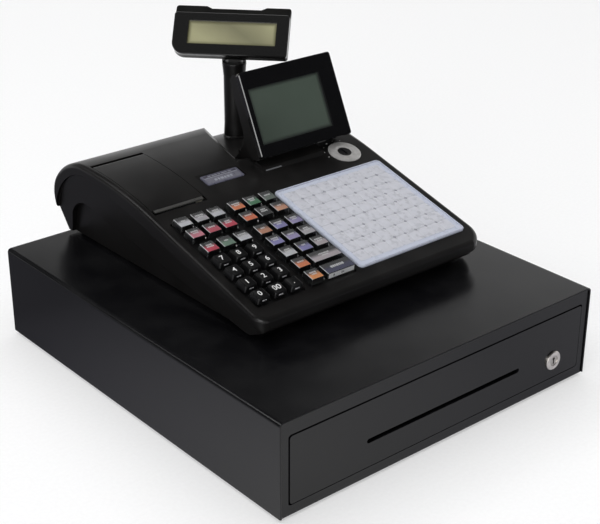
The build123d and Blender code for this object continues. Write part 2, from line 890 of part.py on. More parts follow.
# ---------------------------------------------------------------- register housings
def register_outline(inset):
    """Side outline of the register, pulled in all round by an inset."""
    tail_end = polar(tail_centre, tail_radius, tail_sweep)
    slope = math.radians(tail_sweep - 90)
    heel = (tail_end[0] - (tail_end[1] - underside_z) * math.tan(slope), underside_z)
    toe = (underside_start, underside_z)
    lip = (0.0, lip_z)
    rear_join = polar(rear_centre, rear_radius, rear_sweep)
    rear_middle = polar(rear_centre, rear_radius, rear_sweep / 2)
    tail_middle = polar(tail_centre, tail_radius, (rear_sweep + tail_sweep) / 2)
    edges = [Line(toe, lip), Line(lip, deck_start), Line(deck_start, deck_end),
             TangentArc(deck_end, crest, tangent=(cos_deck, sin_deck)),
             ThreePointArc(crest, rear_middle, rear_join),
             ThreePointArc(rear_join, tail_middle, tail_end), Line(tail_end, heel),
             Line(heel, toe)]
    face = make_face(Curve() + edges)
    if inset > 0:
        face = offset(face, amount=-inset, kind=Kind.INTERSECTION)
    return Plane.YZ * face


def plan_face(inset):
    """Plan outline of the register with rounded front corners, open towards the rear."""
    half = register_width / 2 - inset
    rear = register_depth + 60.0
    face = make_face(Polyline((-half, inset), (half, inset), (half, rear), (-half, rear), close=True))
    left = face.vertices().sort_by_distance((-half, inset, 0))[0]
    face = fillet(left, front_corner_left - inset)
    right = face.vertices().sort_by_distance((half, inset, 0))[0]
    return fillet(right, front_corner_right - inset)


def register_solid(inset):
    """Register envelope pulled in all round by an inset, with upright walls."""
    body = extrude(register_outline(inset), register_width, both=True)
    return body & extrude(Pos(0, 0, -5) * plan_face(inset), 150)


def tapered_solid(inset):
    """Register envelope whose walls lean inwards towards the foot."""
    body = extrude(register_outline(inset), register_width, both=True)
    foot = plan_face(inset + lower_taper)
    head = Pos(0, 0, lower_taper_height) * plan_face(inset)
    return body & loft([foot, head])


def rounded_top(body):
    """Envelope with the rim round its top surface rounded over."""
    rim = [edge for edge in body.edges()
           if edge.center().Z > deck_start[1] - 1
           and not (abs(edge.tangent_at(0.5).X) > 0.99 and edge.center().Y > 50)]
    return fillet(rim, edge_round)


def seam_region(crest_y, crest_z, crown_radius, rear_arc):
    """Side face of all that lies above a seam line: a slope, a crown and a rear arc."""
    angle = math.radians(seam_angle)
    rise = math.tan(angle)
    reach = 40.0
    start = (-reach, seam_front_z - reach * rise)
    turn_z = crest_z - crown_radius * (1 - math.cos(angle))
    turn_y = (turn_z - seam_front_z) / rise
    level_y = turn_y + crown_radius * math.sin(angle)
    centre = (crest_y, crest_z - rear_arc)
    middle = polar(centre, rear_arc, seam_rear_sweep / 2)
    end = polar(centre, rear_arc, seam_rear_sweep)
    run = 30.0
    far = (end[0] + run, end[1] - run * math.tan(math.radians(seam_rear_sweep)))
    roof = 160.0
    edges = [Line(start, (turn_y, turn_z)),
             TangentArc((turn_y, turn_z), (level_y, crest_z), tangent=(math.cos(angle), math.sin(angle)))]
    if crest_y - level_y > 0.01:
        edges.append(Line((level_y, crest_z), (crest_y, crest_z)))
    edges += [ThreePointArc((crest_y, crest_z), middle, end), Line(end, far),
              Line(far, (far[0] + 10, roof)), Line((far[0] + 10, roof), (start[0], roof)),
              Line((start[0], roof), start)]
    return side_face(edges)


def above_seam(lower):
    """Everything above the seam between the two housings, moved down by 'lower'."""
    angle = math.radians(seam_angle)
    crown_radius = (seam_crest_y - seam_turn_y) / math.sin(angle)
    left_z = seam_front_z + seam_turn_y * math.tan(angle) + crown_radius * (1 - math.cos(angle))
    drop = seam_rear_radius * (1 - math.cos(math.radians(seam_rear_sweep)))
    run = seam_rear_radius * math.sin(math.radians(seam_rear_sweep))
    shrink = (seam_right_crest_z - left_z + drop) / drop
    right_arc = seam_rear_radius * shrink
    right_crest_y = seam_crest_y + run - run * shrink
    left = seam_region(seam_crest_y, left_z, crown_radius, seam_rear_radius)
    right = seam_region(right_crest_y, seam_right_crest_z, seam_right_blend, right_arc)
    region = across(left, -register_width, seam_split_x) + across(right, seam_split_x, register_width)
    return Pos(0, 0, -lower) * region


def platform_cutter(grow):
    """Space above the low shelf at the back right, where the pole stands."""
    low = platform_z - grow
    drop_radius = platform_roll_radius
    roll = (platform_roll_y, low)
    roll_end_angle = platform_roll_sweep
    centre = (platform_roll_y, low - drop_radius)
    middle = polar(centre, drop_radius, roll_end_angle / 2)
    end = polar(centre, drop_radius, roll_end_angle)
    start_z = deck_start[1] + (platform_start_y - deck_start[0]) * math.tan(math.radians(deck_angle))
    start = (platform_start_y - grow, start_z - grow)
    before = (platform_start_y - grow - 0.01, 170.0)
    edges = [Line(before, start), Line(start, (platform_flat_y - grow, low)),
             Line((platform_flat_y - grow, low), roll), ThreePointArc(roll, middle, end),
             Line(end, (end[0] + 30, low - 60)), Line((end[0] + 30, low - 60), (end[0] + 30, 170.0)),
             Line((end[0] + 30, 170.0), before)]
    along = extrude(side_face(edges), register_width, both=True)
    slope = math.radians(flank_slope)
    rise = 60.0
    foot = (0.0, low)
    top = (-rise / math.tan(slope), low + rise)
    flank = Polyline(foot, top, (top[0], 190), (260, 190), (260, -20), (0, -20), close=True)
    flank_face = make_face(flank)
    bend = flank_face.vertices().sort_by_distance((foot[0], foot[1], 0))[0]
    flank_face = fillet(bend, flank_round) if grow == 0 else flank_face
    wall = extrude(Plane.XZ * flank_face, 260, both=True)
    wall = Pos(flank_x - grow, flank_y, 0) * (Rot(0, 0, -flank_turn) * wall)
    return along & wall


def deck_plane(height=0.0):
    """Plane of the sloping deck: x to the right, y up the slope, z out of it."""
    origin = (0, deck_start[0] - height * sin_deck, deck_start[1] + height * cos_deck)
    return Plane(origin=origin, x_dir=(1, 0, 0), z_dir=(0, -sin_deck, cos_deck))


def deck_box(x, s, width, length, low, high, corner):
    """Rounded block on the deck, centred at (x, s), between two heights above it."""
    face = deck_plane(low) * Pos(x, s) * RectangleRounded(width, length, corner)
    return extrude(face, high - low)


def row_s(row):
    """Distance up the deck of a key row, counted from the front."""
    gap = upper_rows_gap if row > 4 else 0.0
    return first_row_s + row * key_pitch + gap


def well(block_x, margin, low, high, corner):
    """Rectangle round one block of three key columns."""
    width = 2 * key_pitch + key_base + 2 * margin
    s0 = row_s(0) - key_base / 2 - margin
    s1 = row_s(6) + key_base / 2 + margin
    return deck_box(block_x + key_pitch, (s0 + s1) / 2, width, s1 - s0, low, high, corner)


outer_body = rounded_top(register_solid(0.0))
inner_body = register_solid(case_wall)
tall_hollow = inner_body + block(-register_width / 2, register_width / 2, 0, cover_hinge_y, -20, 20)
upper_solid = outer_body - platform_cutter(0.0)
upper_hollow = inner_body - platform_cutter(case_wall)
cover_right = cover_x + cover_width / 2
cover_left = cover_x - cover_width / 2


def cover_cutter(gap):
    """Space of the printer cover with a gap all round it."""
    front = cover_front_y - tear_depth - (paper_gap if gap > 0 else 0)
    rear = cover_hinge_y + (cover_edge_radius + gap if gap > 0 else 0)
    return block(cover_left - gap, cover_right + gap, front, rear, cover_cut_low, cover_cut_high)


def upper_case():
    """Moulded top housing with its deck, key wells, printer opening and low rear shelf."""
    plinth = upper_plinth()
    shell = (upper_solid - upper_hollow) & above_seam(0.0)
    shell = shell + plinth
    for block_x in (left_block_x, right_block_x):
        shell = shell - well(block_x, well_margin, -case_wall - 2, 3, well_corner)
    shell = shell - deck_box(pad_x, pad_s, pad_width + 2 * pad_fit, pad_length + 2 * pad_fit,
                             -pad_sunk, 3, pad_corner + pad_fit)
    shell = shell - deck_box(recess_x, recess_s, recess_width, recess_length, -recess_depth, 8,
                             recess_corner)
    mode_hole = deck_plane(-case_wall - 2) * Pos(mode_x, mode_s) * Circle(
        mode_barrel_radius + mode_hole_fit)
    shell = shell - extrude(mode_hole, case_wall + 4)
    shell = shell - cover_cutter(cover_gap)
    sleeve_bottom = platform_z - pole_spigot_length - pole_sleeve_wall
    sleeve = rod_z(pole_x, pole_y, sleeve_bottom, platform_z - case_wall,
                   pole_spigot_radius + pole_spigot_fit + pole_sleeve_wall)
    shell = shell + sleeve
    return shell - rod_z(pole_x, pole_y, platform_z - pole_spigot_length - pole_spigot_fit,
                         platform_z + 5, pole_spigot_radius + pole_spigot_fit)


def upper_plinth():
    """Low raised step on the deck in front of the operator display."""
    z_front = deck_start[1] + (plinth_front_y - deck_start[0]) * math.tan(math.radians(deck_angle))
    rear_y = plinth_rear_y
    z_rear = deck_start[1] + (rear_y - deck_start[0]) * math.tan(math.radians(deck_angle))
    sunk = case_wall / 2
    outline = Polyline((plinth_front_y, z_front - sunk), (plinth_front_y + plinth_slope, z_front + plinth_height),
                       (rear_y - plinth_slope, z_rear + plinth_height - 0.5), (rear_y, z_rear - sunk), close=True)
    return across(side_face([outline]), plinth_left_x, plinth_right_x)


def arch_pocket(side, grow):
    """Space under a side skirt, in front of the rear leg."""
    front = (arch_front_y - 40, underside_z - 3 + grow)
    start = (arch_front_y, underside_z + 1 + grow)
    peak = (arch_peak_y, arch_peak_z + grow)
    turn = (arch_turn_y + grow * 0.5, arch_turn_z + grow)
    leg = (arch_leg_y + grow, arch_leg_z)
    foot = (arch_foot_y + grow, -5.0)
    edges = [Line(front, start), Line(start, peak), ThreePointArc(peak, turn, leg), Line(leg, foot),
             Line(foot, (front[0], -5.0)), Line((front[0], -5.0), front)]
    x0 = register_width / 2 - pocket_depth - grow
    x1 = register_width / 2 + 10
    if side < 0:
        x0, x1 = -x1, -x0
    return across(side_face(edges), x0, x1)


def lower_case():
    """Moulded base with arched side skirts, rear legs and a recessed connector bay."""
    outside = tapered_solid(seam_step)
    inside = tapered_solid(seam_step + case_wall)
    for side in (-1, 1):
        outside = outside - arch_pocket(side, 0.0)
        inside = inside - arch_pocket(side, case_wall)
    shell = outside - inside
    bay_low = port_bay_z - port_bay_height / 2
    bay_high = port_bay_z + port_bay_height / 2
    bay_half = port_bay_width / 2
    bay_y = heel_y() - port_bay_depth
    surround = block(-bay_half - port_wall, bay_half + port_wall, bay_y - port_wall,
                     register_depth, bay_low - port_wall, bay_high + port_wall)
    shell = shell + (surround & outside)
    shell = shell - block(-bay_half, bay_half, bay_y, register_depth + 5, bay_low, bay_high)
    shell = shell - port_cuts(bay_y)
    shell = shell - above_seam(seam_gap)
    lip_out = register_solid(case_wall + lip_clearance)
    lip_in = register_solid(case_wall + lip_clearance + lip_thickness)
    band = above_seam(seam_gap + lip_overlap) - above_seam(-lip_overlap)
    lip = (lip_out - lip_in) & band
    lip = lip - platform_cutter(case_wall + lip_clearance)
    for side in (-1, 1):
        for y in lip_rib_places:
            x0, x1 = sorted((side * (register_width / 2 - case_wall - lip_clearance - lip_thickness),
                             side * register_width / 2))
            rib = block(x0, x1, y, y + lip_rib_length, 0, 110)
            lip = lip + (rib & band & inner_body)
    return shell + lip


def heel_y():
    """Depth of the register's rear wall at its foot."""
    tail_end = polar(tail_centre, tail_radius, tail_sweep)
    slope = math.radians(tail_sweep - 90)
    return tail_end[0] - (tail_end[1] - underside_z) * math.tan(slope)


def port_cuts(bay_y):
    """Sockets sunk in the back of the connector bay: mains inlet, two data ports, drawer jack."""
    depth = port_depth
    cuts = None
    for x, width in ((-inlet_x, inlet_width), (jack_x, jack_width)):
        hole = block(x - width / 2, x + width / 2, bay_y - depth, bay_y + 1,
                     port_bay_z - inlet_height / 2, port_bay_z + inlet_height / 2)
        cuts = hole if cuts is None else cuts + hole
    for x in (-data_port_x, data_port_x):
        face = Plane((x, bay_y - depth, port_bay_z), x_dir=(-1, 0, 0), z_dir=(0, 1, 0))
        cuts = cuts + extrude(face * Trapezoid(data_port_width, data_port_height, data_port_angle), depth + 1)
    return cuts


# ---------------------------------------------------------------- keys
def keyboard_plate():
    """Switch plate under the deck, with a square hole for every key stem."""
    s0 = row_s(0) - key_base / 2 - plate_margin
    s1 = row_s(6) + key_base / 2 + plate_margin
    x0 = left_block_x - key_base / 2 - plate_margin
    x1 = right_block_x + 2 * key_pitch + key_base / 2 + plate_margin
    plate = deck_box((x0 + x1) / 2, (s0 + s1) / 2, x1 - x0, s1 - s0,
                     -case_wall - plate_thickness, -case_wall, 2.0)
    hole = key_stem + 2 * key_stem_fit
    cutters = [deck_box(x, s, hole, hole, -case_wall - plate_thickness - 1, -case_wall + 1, 0.4)
               for x, s in stem_places()]
    return plate - cutters


def stem_places():
    """Places of all the key stems on the deck."""
    places = []
    for row in range(7):
        for column in range(3):
            places.append((left_block_x + column * key_pitch, row_s(row)))
            if row > 1 or column == 0:
                places.append((right_block_x + column * key_pitch, row_s(row)))
        if row < 2:
            places.append((right_block_x + 1.5 * key_pitch, row_s(row)))
    return places


def key(x, s, units, dished):
    """Tapered key cap on its square stem; 'units' is its width in key pitches."""
    width = key_base + (units - 1) * key_pitch
    top_width = key_top + (units - 1) * key_pitch
    low = key_lift
    foot = deck_plane(low) * Pos(x, s) * RectangleRounded(width, key_base, key_corner)
    head = deck_plane(low + key_height) * Pos(x, s) * RectangleRounded(top_width, key_top, key_corner)
    cap = loft([foot, head])
    if dished:
        axis = deck_plane(low + key_height + key_dish_radius - key_dish) * Pos(x, s)
        roller = axis * Rot(90, 0, 0) * Cylinder(key_dish_radius, key_base * 2)
        cap = cap - roller
    stem = deck_box(x, s, key_stem, key_stem, low - key_stem_length, low + 1, 0.4)
    return cap + stem


def flat_keypad():
    """Soft sheet over the flat keypad, with a raised rim."""
    sheet = deck_box(pad_x, pad_s, pad_width, pad_length, -pad_sunk, pad_proud, pad_corner)
    field = deck_box(pad_x, pad_s, pad_width - 2 * pad_rim, pad_length - 2 * pad_rim,
                     pad_proud - pad_field_drop, pad_proud + 1, pad_corner - 2)
    return sheet - field


def mode_plane(height):
    """Plane on the deck at the mode switch."""
    return deck_plane(height) * Pos(mode_x, mode_s)


def mode_ring():
    """Bright dial ring with the switch barrel below it."""
    profile = Polyline((mode_bore_radius, -mode_barrel_length), (mode_barrel_radius, -mode_barrel_length),
                       (mode_barrel_radius, 0), (mode_ring_radius, 0),
                       (mode_ring_radius, mode_ring_height * 0.45),
                       (mode_ring_radius - 1.2, mode_ring_height),
                       (mode_seat_radius + 1.5, mode_ring_height),
                       (mode_seat_radius, mode_ring_height - 1.0), (mode_bore_radius, mode_ring_height - 1.0),
                       close=True)
    ring = revolve(Plane.XZ * make_face(profile), Axis.Z)
    return mode_plane(0.0) * ring


def mode_rotor():
    """Turning core of the mode switch, with its key slot."""
    radius = mode_bore_radius - mode_rotor_fit
    core = Cylinder(radius, mode_barrel_length + mode_flange_height - 1,
                    align=(Align.CENTER, Align.CENTER, Align.MIN))
    core = Pos(0, 0, -mode_barrel_length + 1) * core
    slot = Pos(0, 0, mode_flange_height) * Box(mode_key_width, mode_key_length, 2 * mode_key_depth)
    return mode_plane(0.0) * (core - slot)


def window_plate():
    """Thin plate in the recess beside the printer."""
    return deck_box(window_x, window_s, window_width, window_length, -recess_depth,
                    -recess_depth + window_thickness, 1.5)


# ---------------------------------------------------------------- printer
hinge_z = surface_z(cover_hinge_y) - cover_edge_radius
cheek_half = cheek_inside / 2
gear_radius = gear_module * gear_teeth / 2
pinion_radius = gear_module * pinion_teeth / 2
pinion_turn = math.radians(pinion_direction)
pinion_y = platen_y + (gear_radius + pinion_radius) * math.cos(pinion_turn)
pinion_z = platen_z + (gear_radius + pinion_radius) * math.sin(pinion_turn)
gear_x = printer_x + cheek_half + cheek_thickness + gear_cheek_gap


def printer_cover():
    """Hinged lid that carries on the deck's curve up to the crest."""
    lid = (outer_body - inner_body) & block(cover_left, cover_right, cover_front_y, cover_hinge_y,
                                            cover_cut_low, cover_cut_high)
    for x in (cover_left, cover_right - cover_wall):
        rib = block(x, x + cover_wall, cover_rib_start_y, cover_hinge_y, cover_cut_low, cover_cut_high)
        rib = rib & inner_body
        rib = rib - (Pos(0, 0, -cover_rib) * inner_body)
        lid = lid + rib
    lid = lid + rod_x(cover_left, cover_right, cover_hinge_y, hinge_z, cover_edge_radius)
    reach = cover_gap + lug_depth - 0.2
    return lid + rod_x(cover_left - reach, cover_right + reach, cover_hinge_y, hinge_z, hinge_pin_radius)


def tear_bar():
    """Steel strip with a saw-tooth edge along the lid's front."""
    z = deck_start[1] + (cover_front_y - deck_start[0]) * math.tan(math.radians(deck_angle))
    step = tear_length / tear_teeth
    x0 = cover_x - tear_length / 2
    points = [(x0, 1), (x0, -tear_depth + tear_tooth)]
    for index in range(tear_teeth):
        points.append((x0 + (index + 0.5) * step, -tear_depth))
        points.append((x0 + (index + 1) * step, -tear_depth + tear_tooth))
    points.append((x0 + tear_length, 1))
    plane = Plane(origin=(0, cover_front_y, z), x_dir=(1, 0, 0), z_dir=(0, -sin_deck, cos_deck))
    strip = extrude(plane * make_face(Polyline(*points, close=True)), -tear_thickness)
    return strip - block(x0 - 1, x0 + tear_length + 1, cover_front_y, cover_front_y + 5, z - 5, z + 5)


def printer_frame():
    """Two side cheeks, the roll cradle between them and the lugs for the lid's hinge pins."""
    y0 = cheek_front_y
    y1 = cheek_rear_y
    floor_z = case_floor_z()
    left = printer_x - cheek_half - cheek_thickness
    right = printer_x + cheek_half + cheek_thickness
    cheeks = block(left, left + cheek_thickness, y0, y1, floor_z, cheek_cut_height)
    cheeks = cheeks + block(right - cheek_thickness, right, y0, y1, floor_z, cheek_cut_height)
    cheeks = cheeks & (Pos(0, 0, -cover_rib - cheek_top_gap) * tall_hollow)
    cheeks = cheeks - rod_x(left - 1, right + 1, cover_hinge_y, hinge_z, cover_edge_radius + cheek_top_gap)
    centre = (roll_y, roll_z)
    inner = roll_radius + cradle_gap
    outer = inner + cradle_wall
    low_arc = [polar(centre, inner, 180 + cradle_half_angle), polar(centre, inner, 180),
               polar(centre, inner, 180 - cradle_half_angle)]
    high_arc = [polar(centre, outer, 180 - cradle_half_angle), polar(centre, outer, 180),
                polar(centre, outer, 180 + cradle_half_angle)]
    edges = [ThreePointArc(*low_arc), Line(low_arc[2], high_arc[0]), ThreePointArc(*high_arc),
             Line(high_arc[2], low_arc[0])]
    cradle = across(side_face(edges), left, right)
    floor = block(left, right, y0, y1, floor_z, floor_z + cradle_wall)
    frame = cheeks + cradle + floor
    arm_z = hinge_z - cover_edge_radius - cover_rib
    for sign in (-1, 1):
        near = cover_x + sign * (cover_width / 2 + cover_gap)
        x0, x1 = sorted((near, near + sign * lug_depth))
        inside = printer_x + sign * cheek_half
        arm_x0, arm_x1 = sorted((inside, near + sign * lug_depth))
        frame = frame + rod_x(x0, x1, cover_hinge_y, hinge_z, hinge_pin_radius + hinge_lug_wall)
        frame = frame + block(x0, x1, cover_hinge_y - 2.5, cover_hinge_y + 2.5, arm_z, hinge_z)
        frame = frame + block(arm_x0, arm_x1, cover_hinge_y - 2.5, cover_hinge_y + 2.5, arm_z - 3, arm_z)
        frame = frame - rod_x(x0 - 1, x1 + 1, cover_hinge_y, hinge_z, hinge_pin_radius + hinge_pin_fit)
    return frame - rod_x(left - 1, right + 1, platen_y, platen_z, platen_shaft_radius + shaft_fit)


def case_floor_z():
    """Inside floor level of the lower housing."""
    return underside_z + seam_step + case_wall


def platen_roller():
    """Rubber-covered feed roller on its steel shaft."""
    half = platen_length / 2
    roller = rod_x(printer_x - half, printer_x + half, platen_y, platen_z, platen_radius)
    shaft_left = printer_x - cheek_half - cheek_thickness - 0.4
    return roller + rod_x(shaft_left, gear_x + gear_width, platen_y, platen_z, platen_shaft_radius)


def spur_gear(teeth, bore):
    """Involute spur gear about the X axis, one tooth pointing along +Y, from x = 0."""
    pitch = gear_module * teeth / 2
    base = pitch * math.cos(math.radians(gear_pressure_angle))
    tip = pitch + gear_module
    root = pitch - 1.25 * gear_module
    inv_pitch = math.tan(math.radians(gear_pressure_angle)) - math.radians(gear_pressure_angle)
    half_tooth = (math.pi * gear_module / 2 - gear_backlash) / 2 / pitch
    start = max(base, root)

    def flank_angle(radius):
        roll = math.acos(min(1.0, base / radius))
        return half_tooth + inv_pitch - (math.tan(roll) - roll)

    def spot(radius, angle):
        return (radius * math.cos(angle), radius * math.sin(angle))

    edges = []
    step = 2 * math.pi / teeth
    radii = [start, (start + tip) / 2, tip]
    for index in range(teeth):
        middle = index * step
        rise = [spot(r, middle - flank_angle(r)) for r in radii]
        fall = [spot(r, middle + flank_angle(r)) for r in reversed(radii)]
        root_in = spot(root, middle - flank_angle(start))
        root_out = spot(root, middle + flank_angle(start))
        next_root = spot(root, middle + step - flank_angle(start))
        if start > root + 0.01:
            edges.append(Line(root_in, rise[0]))
        edges.append(ThreePointArc(*rise))
        edges.append(Line(rise[2], fall[0]))
        edges.append(ThreePointArc(*fall))
        if start > root + 0.01:
            edges.append(Line(fall[2], root_out))
        edges.append(Line(root_out, next_root))
    face = make_face(Curve() + edges) - Circle(bore)
    return extrude(Plane.YZ * face, gear_width)


def platen_gear():
    """Gear pressed on the platen's shaft."""
    turned = Rot(pinion_direction, 0, 0) * spur_gear(gear_teeth, platen_shaft_radius)
    return Pos(gear_x, platen_y, platen_z) * turned


def feed_pinion():
    """Motor pinion in mesh with the platen gear."""
    half_pitch = 180.0 / pinion_teeth
    turned = Rot(pinion_direction + 180 + half_pitch, 0, 0) * spur_gear(pinion_teeth, motor_shaft_radius)
    return Pos(gear_x, pinion_y, pinion_z) * turned


def feed_motor():
    """Can motor on two posts, its shaft reaching through the pinion."""
    face_x = gear_x + gear_width + motor_gear_gap
    can = rod_x(face_x, face_x + motor_length, pinion_y, pinion_z, motor_radius)
    shaft = rod_x(gear_x, face_x + 1, pinion_y, pinion_z, motor_shaft_radius - shaft_fit)
    motor = can + shaft
    cheek_face = printer_x + cheek_half + cheek_thickness
    for sign in (-1, 1):
        offset_y = pinion_y + motor_post_offset * 0.8
        post_z = pinion_z + sign * motor_post_offset * 0.6
        motor = motor + rod_x(cheek_face, face_x + 1, offset_y, post_z, motor_post_radius)
    return motor


def paper_roll():
    """Roll of receipt paper with its hollow core."""
    half = roll_width / 2
    roll = rod_x(printer_x - half, printer_x + half, roll_y, roll_z, roll_radius)
    return roll - rod_x(printer_x - half - 1, printer_x + half + 1, roll_y, roll_z,
                        roll_core_radius - roll_core_wall)


# ---------------------------------------------------------------- operator display
lean = math.radians(display_lean)
up_y, up_z = math.sin(lean), math.cos(lean)
axis_y = display_bottom_y + hinge_depth * math.cos(lean) + hinge_up * up_y
axis_z = display_bottom_z - hinge_depth * math.sin(lean) + hinge_up * up_z


def display_plane(depth=0.0):
    """Plane of the display's face, its origin at the middle of the bottom edge."""
    origin = (display_x, display_bottom_y + depth * math.cos(lean),
              display_bottom_z - depth * math.sin(lean))
    return Plane(origin=origin, x_dir=(1, 0, 0), z_dir=(0, -math.cos(lean), math.sin(lean)))


def display_slab(depth0, depth1, inset, corner):
    """Rounded slab behind the display's face between two depths."""
    face = display_plane(depth1) * Pos(0, display_height / 2)
    face = face * RectangleRounded(display_width - 2 * inset, display_height - 2 * inset, corner)
    return extrude(face, depth1 - depth0)


def lcd_face(margin):
    """Outline of the display's LCD, grown by a margin."""
    x = -display_width / 2 + lcd_left + lcd_width / 2
    shape = Rectangle(lcd_width + 2 * margin, lcd_height + 2 * margin)
    return Pos(x, lcd_bottom + lcd_height / 2) * shape


def display_bezel():
    """Gloss front shell of the operator display."""
    shell = display_slab(0.0, bezel_depth, 0.0, shell_corner)
    front_edges = shell.faces().sort_by(Axis((0, 0, 0), (0, -math.cos(lean), math.sin(lean))))[-1].edges()
    shell = chamfer(front_edges, shell_edge)
    shell = shell - display_slab(shell_wall, bezel_depth + 1, shell_wall, shell_corner - 1)
    window = extrude(display_plane(shell_wall + 1) * lcd_face(0.0), shell_wall + 2)
    return shell - window


def display_back():
    """Deeper rear shell with slots for the hinge ears and bosses for the pins."""
    profile = Polyline((0, bezel_depth), (display_height, bezel_depth), (display_height, back_depth_top),
                       (back_heel_up, back_depth_bottom), (0, back_heel_depth), close=True)
    frame = Plane(origin=(display_x, display_bottom_y, display_bottom_z), x_dir=(0, up_y, up_z),
                  z_dir=(1, 0, 0))
    face = make_face(profile)
    top_vertex = face.vertices().sort_by_distance((display_height, back_depth_top, 0))[0]
    face = fillet(top_vertex, back_top_round)
    outer = extrude(frame * mirror(face, Plane.XZ), display_width / 2, both=True)
    inner_face = offset(face, amount=-shell_wall, kind=Kind.INTERSECTION)
    inner_face = inner_face + Pos(display_height / 2, bezel_depth) * Rectangle(
        display_height - 2 * shell_wall, 2 * shell_wall + 2)
    inner = extrude(frame * mirror(inner_face, Plane.XZ), display_width / 2 - shell_wall, both=True)
    shell = outer - inner
    for side in (-1, 1):
        x = display_x + side * ear_spacing / 2
        half = ear_thickness / 2 + ear_notch_gap
        boxing = ear_room(x, half + shell_wall, shell_wall)
        shell = shell + (boxing & outer)
    for side in (-1, 1):
        x = display_x + side * ear_spacing / 2
        shell = shell - ear_room(x, ear_thickness / 2 + ear_notch_gap, 0.0)
        inner_x = x - side * (ear_thickness / 2 + ear_notch_gap)
        pin_far = inner_x + side * (ear_notch_gap + display_pin_length)
        boss_far = inner_x - side * 3
        x0, x1 = sorted((boss_far, pin_far))
        shell = shell + rod_x(x0, x1, axis_y, axis_z, display_pin_radius)
    return shell


def ear_room(x, half, grow):
    """Slot in the rear shell in which a hinge ear sits."""
    front_depth = hinge_depth - ear_nose_radius - ear_notch_gap - grow
    keep = extrude(display_plane(60.0) * Pos(0, 20) * Rectangle(400, 200), 60.0 - front_depth)
    drum = rod_x(x - half, x + half, axis_y, axis_z, ear_back_radius + ear_notch_gap + grow)
    height = hinge_up + 10 + grow
    chute = extrude(display_plane(60.0) * Pos(x - display_x, hinge_up - height / 2)
                    * Rectangle(2 * half, height), 60.0 - front_depth)
    return (drum & keep) + chute


def display_bracket():
    """Two hinge ears on a cross bar, seated on the housing's slope and shelf."""
    outline = ear_outline()
    ears = []
    for side in (-1, 1):
        x = display_x + side * ear_spacing / 2
        ears.append(across(outline, x - ear_thickness / 2, x + ear_thickness / 2))
    bar = block(display_x - ear_spacing / 2, display_x + ear_spacing / 2, bracket_bar_y,
                bracket_base_y - 1, platform_z - 10, platform_z + bracket_bar_height)
    bracket = ears[0] + ears[1] + bar
    bracket = bracket - bracket_seat()
    return bracket - rod_x(display_x - ear_spacing, display_x + ear_spacing, axis_y, axis_z,
                           display_pin_radius + display_pin_fit)


def ear_outline():
    """Side outline of a hinge ear: round nose, swept back to a broad foot."""
    nose = Pos(axis_y, axis_z) * Circle(ear_nose_radius)
    crown = polar((axis_y, axis_z), ear_back_radius, 20.0)
    front_low = (axis_y - ear_nose_radius * 0.6, platform_z - 8)
    rear_low = (bracket_base_y, platform_z - 8)
    heel = (bracket_base_y, platform_z)
    waist = ((crown[0] + heel[0]) / 2 - 2.0, (crown[1] + heel[1]) / 2 - 3.0)
    brow = polar((axis_y, axis_z), ear_nose_radius, -30.0)
    edges = [Line(brow, crown), ThreePointArc(crown, waist, heel), Line(heel, rear_low),
             Line(rear_low, front_low), Line(front_low, brow)]
    return Plane.YZ * (make_face(Curve() + edges) + nose)


def bracket_seat():
    """The housing's flat slope and shelf, as one big block under the bracket."""
    z_start = deck_start[1] + (platform_start_y - deck_start[0]) * math.tan(math.radians(deck_angle))
    outline = Polyline((platform_start_y - 60, z_start - 60 * math.tan(math.radians(deck_angle))),
                       (platform_start_y, z_start), (platform_flat_y, platform_z),
                       (platform_flat_y + 60, platform_z), (platform_flat_y + 60, 0),
                       (platform_start_y - 60, 0), close=True)
    return across(side_face([outline]), display_x - display_width, display_x + display_width)


def display_lcd():
    """Glass panel behind the bezel's window."""
    panel = extrude(display_plane(shell_wall + lcd_thickness) * lcd_face(lcd_margin), lcd_thickness)
    return panel


# ---------------------------------------------------------------- customer display
CUSTOMER_AXIS = Location((pole_x, pole_y, customer_axis_z)) * Rot(0, 0, customer_turn)
CUSTOMER_AXIS = CUSTOMER_AXIS * Pos(0, customer_axis_setback, 0)
CUSTOMER = CUSTOMER_AXIS * Rot(90 - customer_lean, 0, 0)


def pole():
    """Oval pole with a turning spigot below and a hinge tongue on top."""
    base = platform_z + pole_seat_gap
    collar = rod_z(0, 0, base, base + pole_collar_height, pole_collar_radius)
    collar = chamfer(collar.edges().sort_by(Axis.Z)[-1], 1.2)
    spigot = rod_z(0, 0, platform_z - pole_spigot_length, base, pole_spigot_radius)
    wide = Ellipse(pole_width / 2 + pole_flare, pole_thickness / 2 + pole_flare)
    slim = Ellipse(pole_width / 2, pole_thickness / 2)
    foot_z = base + pole_collar_height
    shaft_low = loft([Pos(0, 0, foot_z - 1) * Ellipse(pole_width / 2 + pole_flare * 0.6,
                                                      pole_thickness / 2 + pole_flare * 0.6),
                      Pos(0, 0, foot_z + pole_flare_height) * slim])
    shaft_mid = extrude(Pos(0, 0, foot_z + pole_flare_height) * slim,
                        pole_top_z - foot_z - 2 * pole_flare_height)
    shaft_top = loft([Pos(0, 0, pole_top_z - pole_flare_height) * slim, Pos(0, 0, pole_top_z) * wide])
    back = customer_axis_setback
    tongue = rod_x(-tongue_thickness / 2, tongue_thickness / 2, back, customer_axis_z, tongue_radius)
    neck = block(-tongue_thickness / 2, tongue_thickness / 2, back - tongue_radius, back + tongue_radius,
                 pole_top_z - 1, customer_axis_z)
    post = collar + spigot + shaft_low + shaft_mid + shaft_top + tongue + neck
    post = post - rod_x(-tongue_thickness, tongue_thickness, back, customer_axis_z,
                        knuckle_pin_radius + knuckle_pin_fit)
    return Location((pole_x, pole_y, 0)) * Rot(0, 0, customer_turn) * post


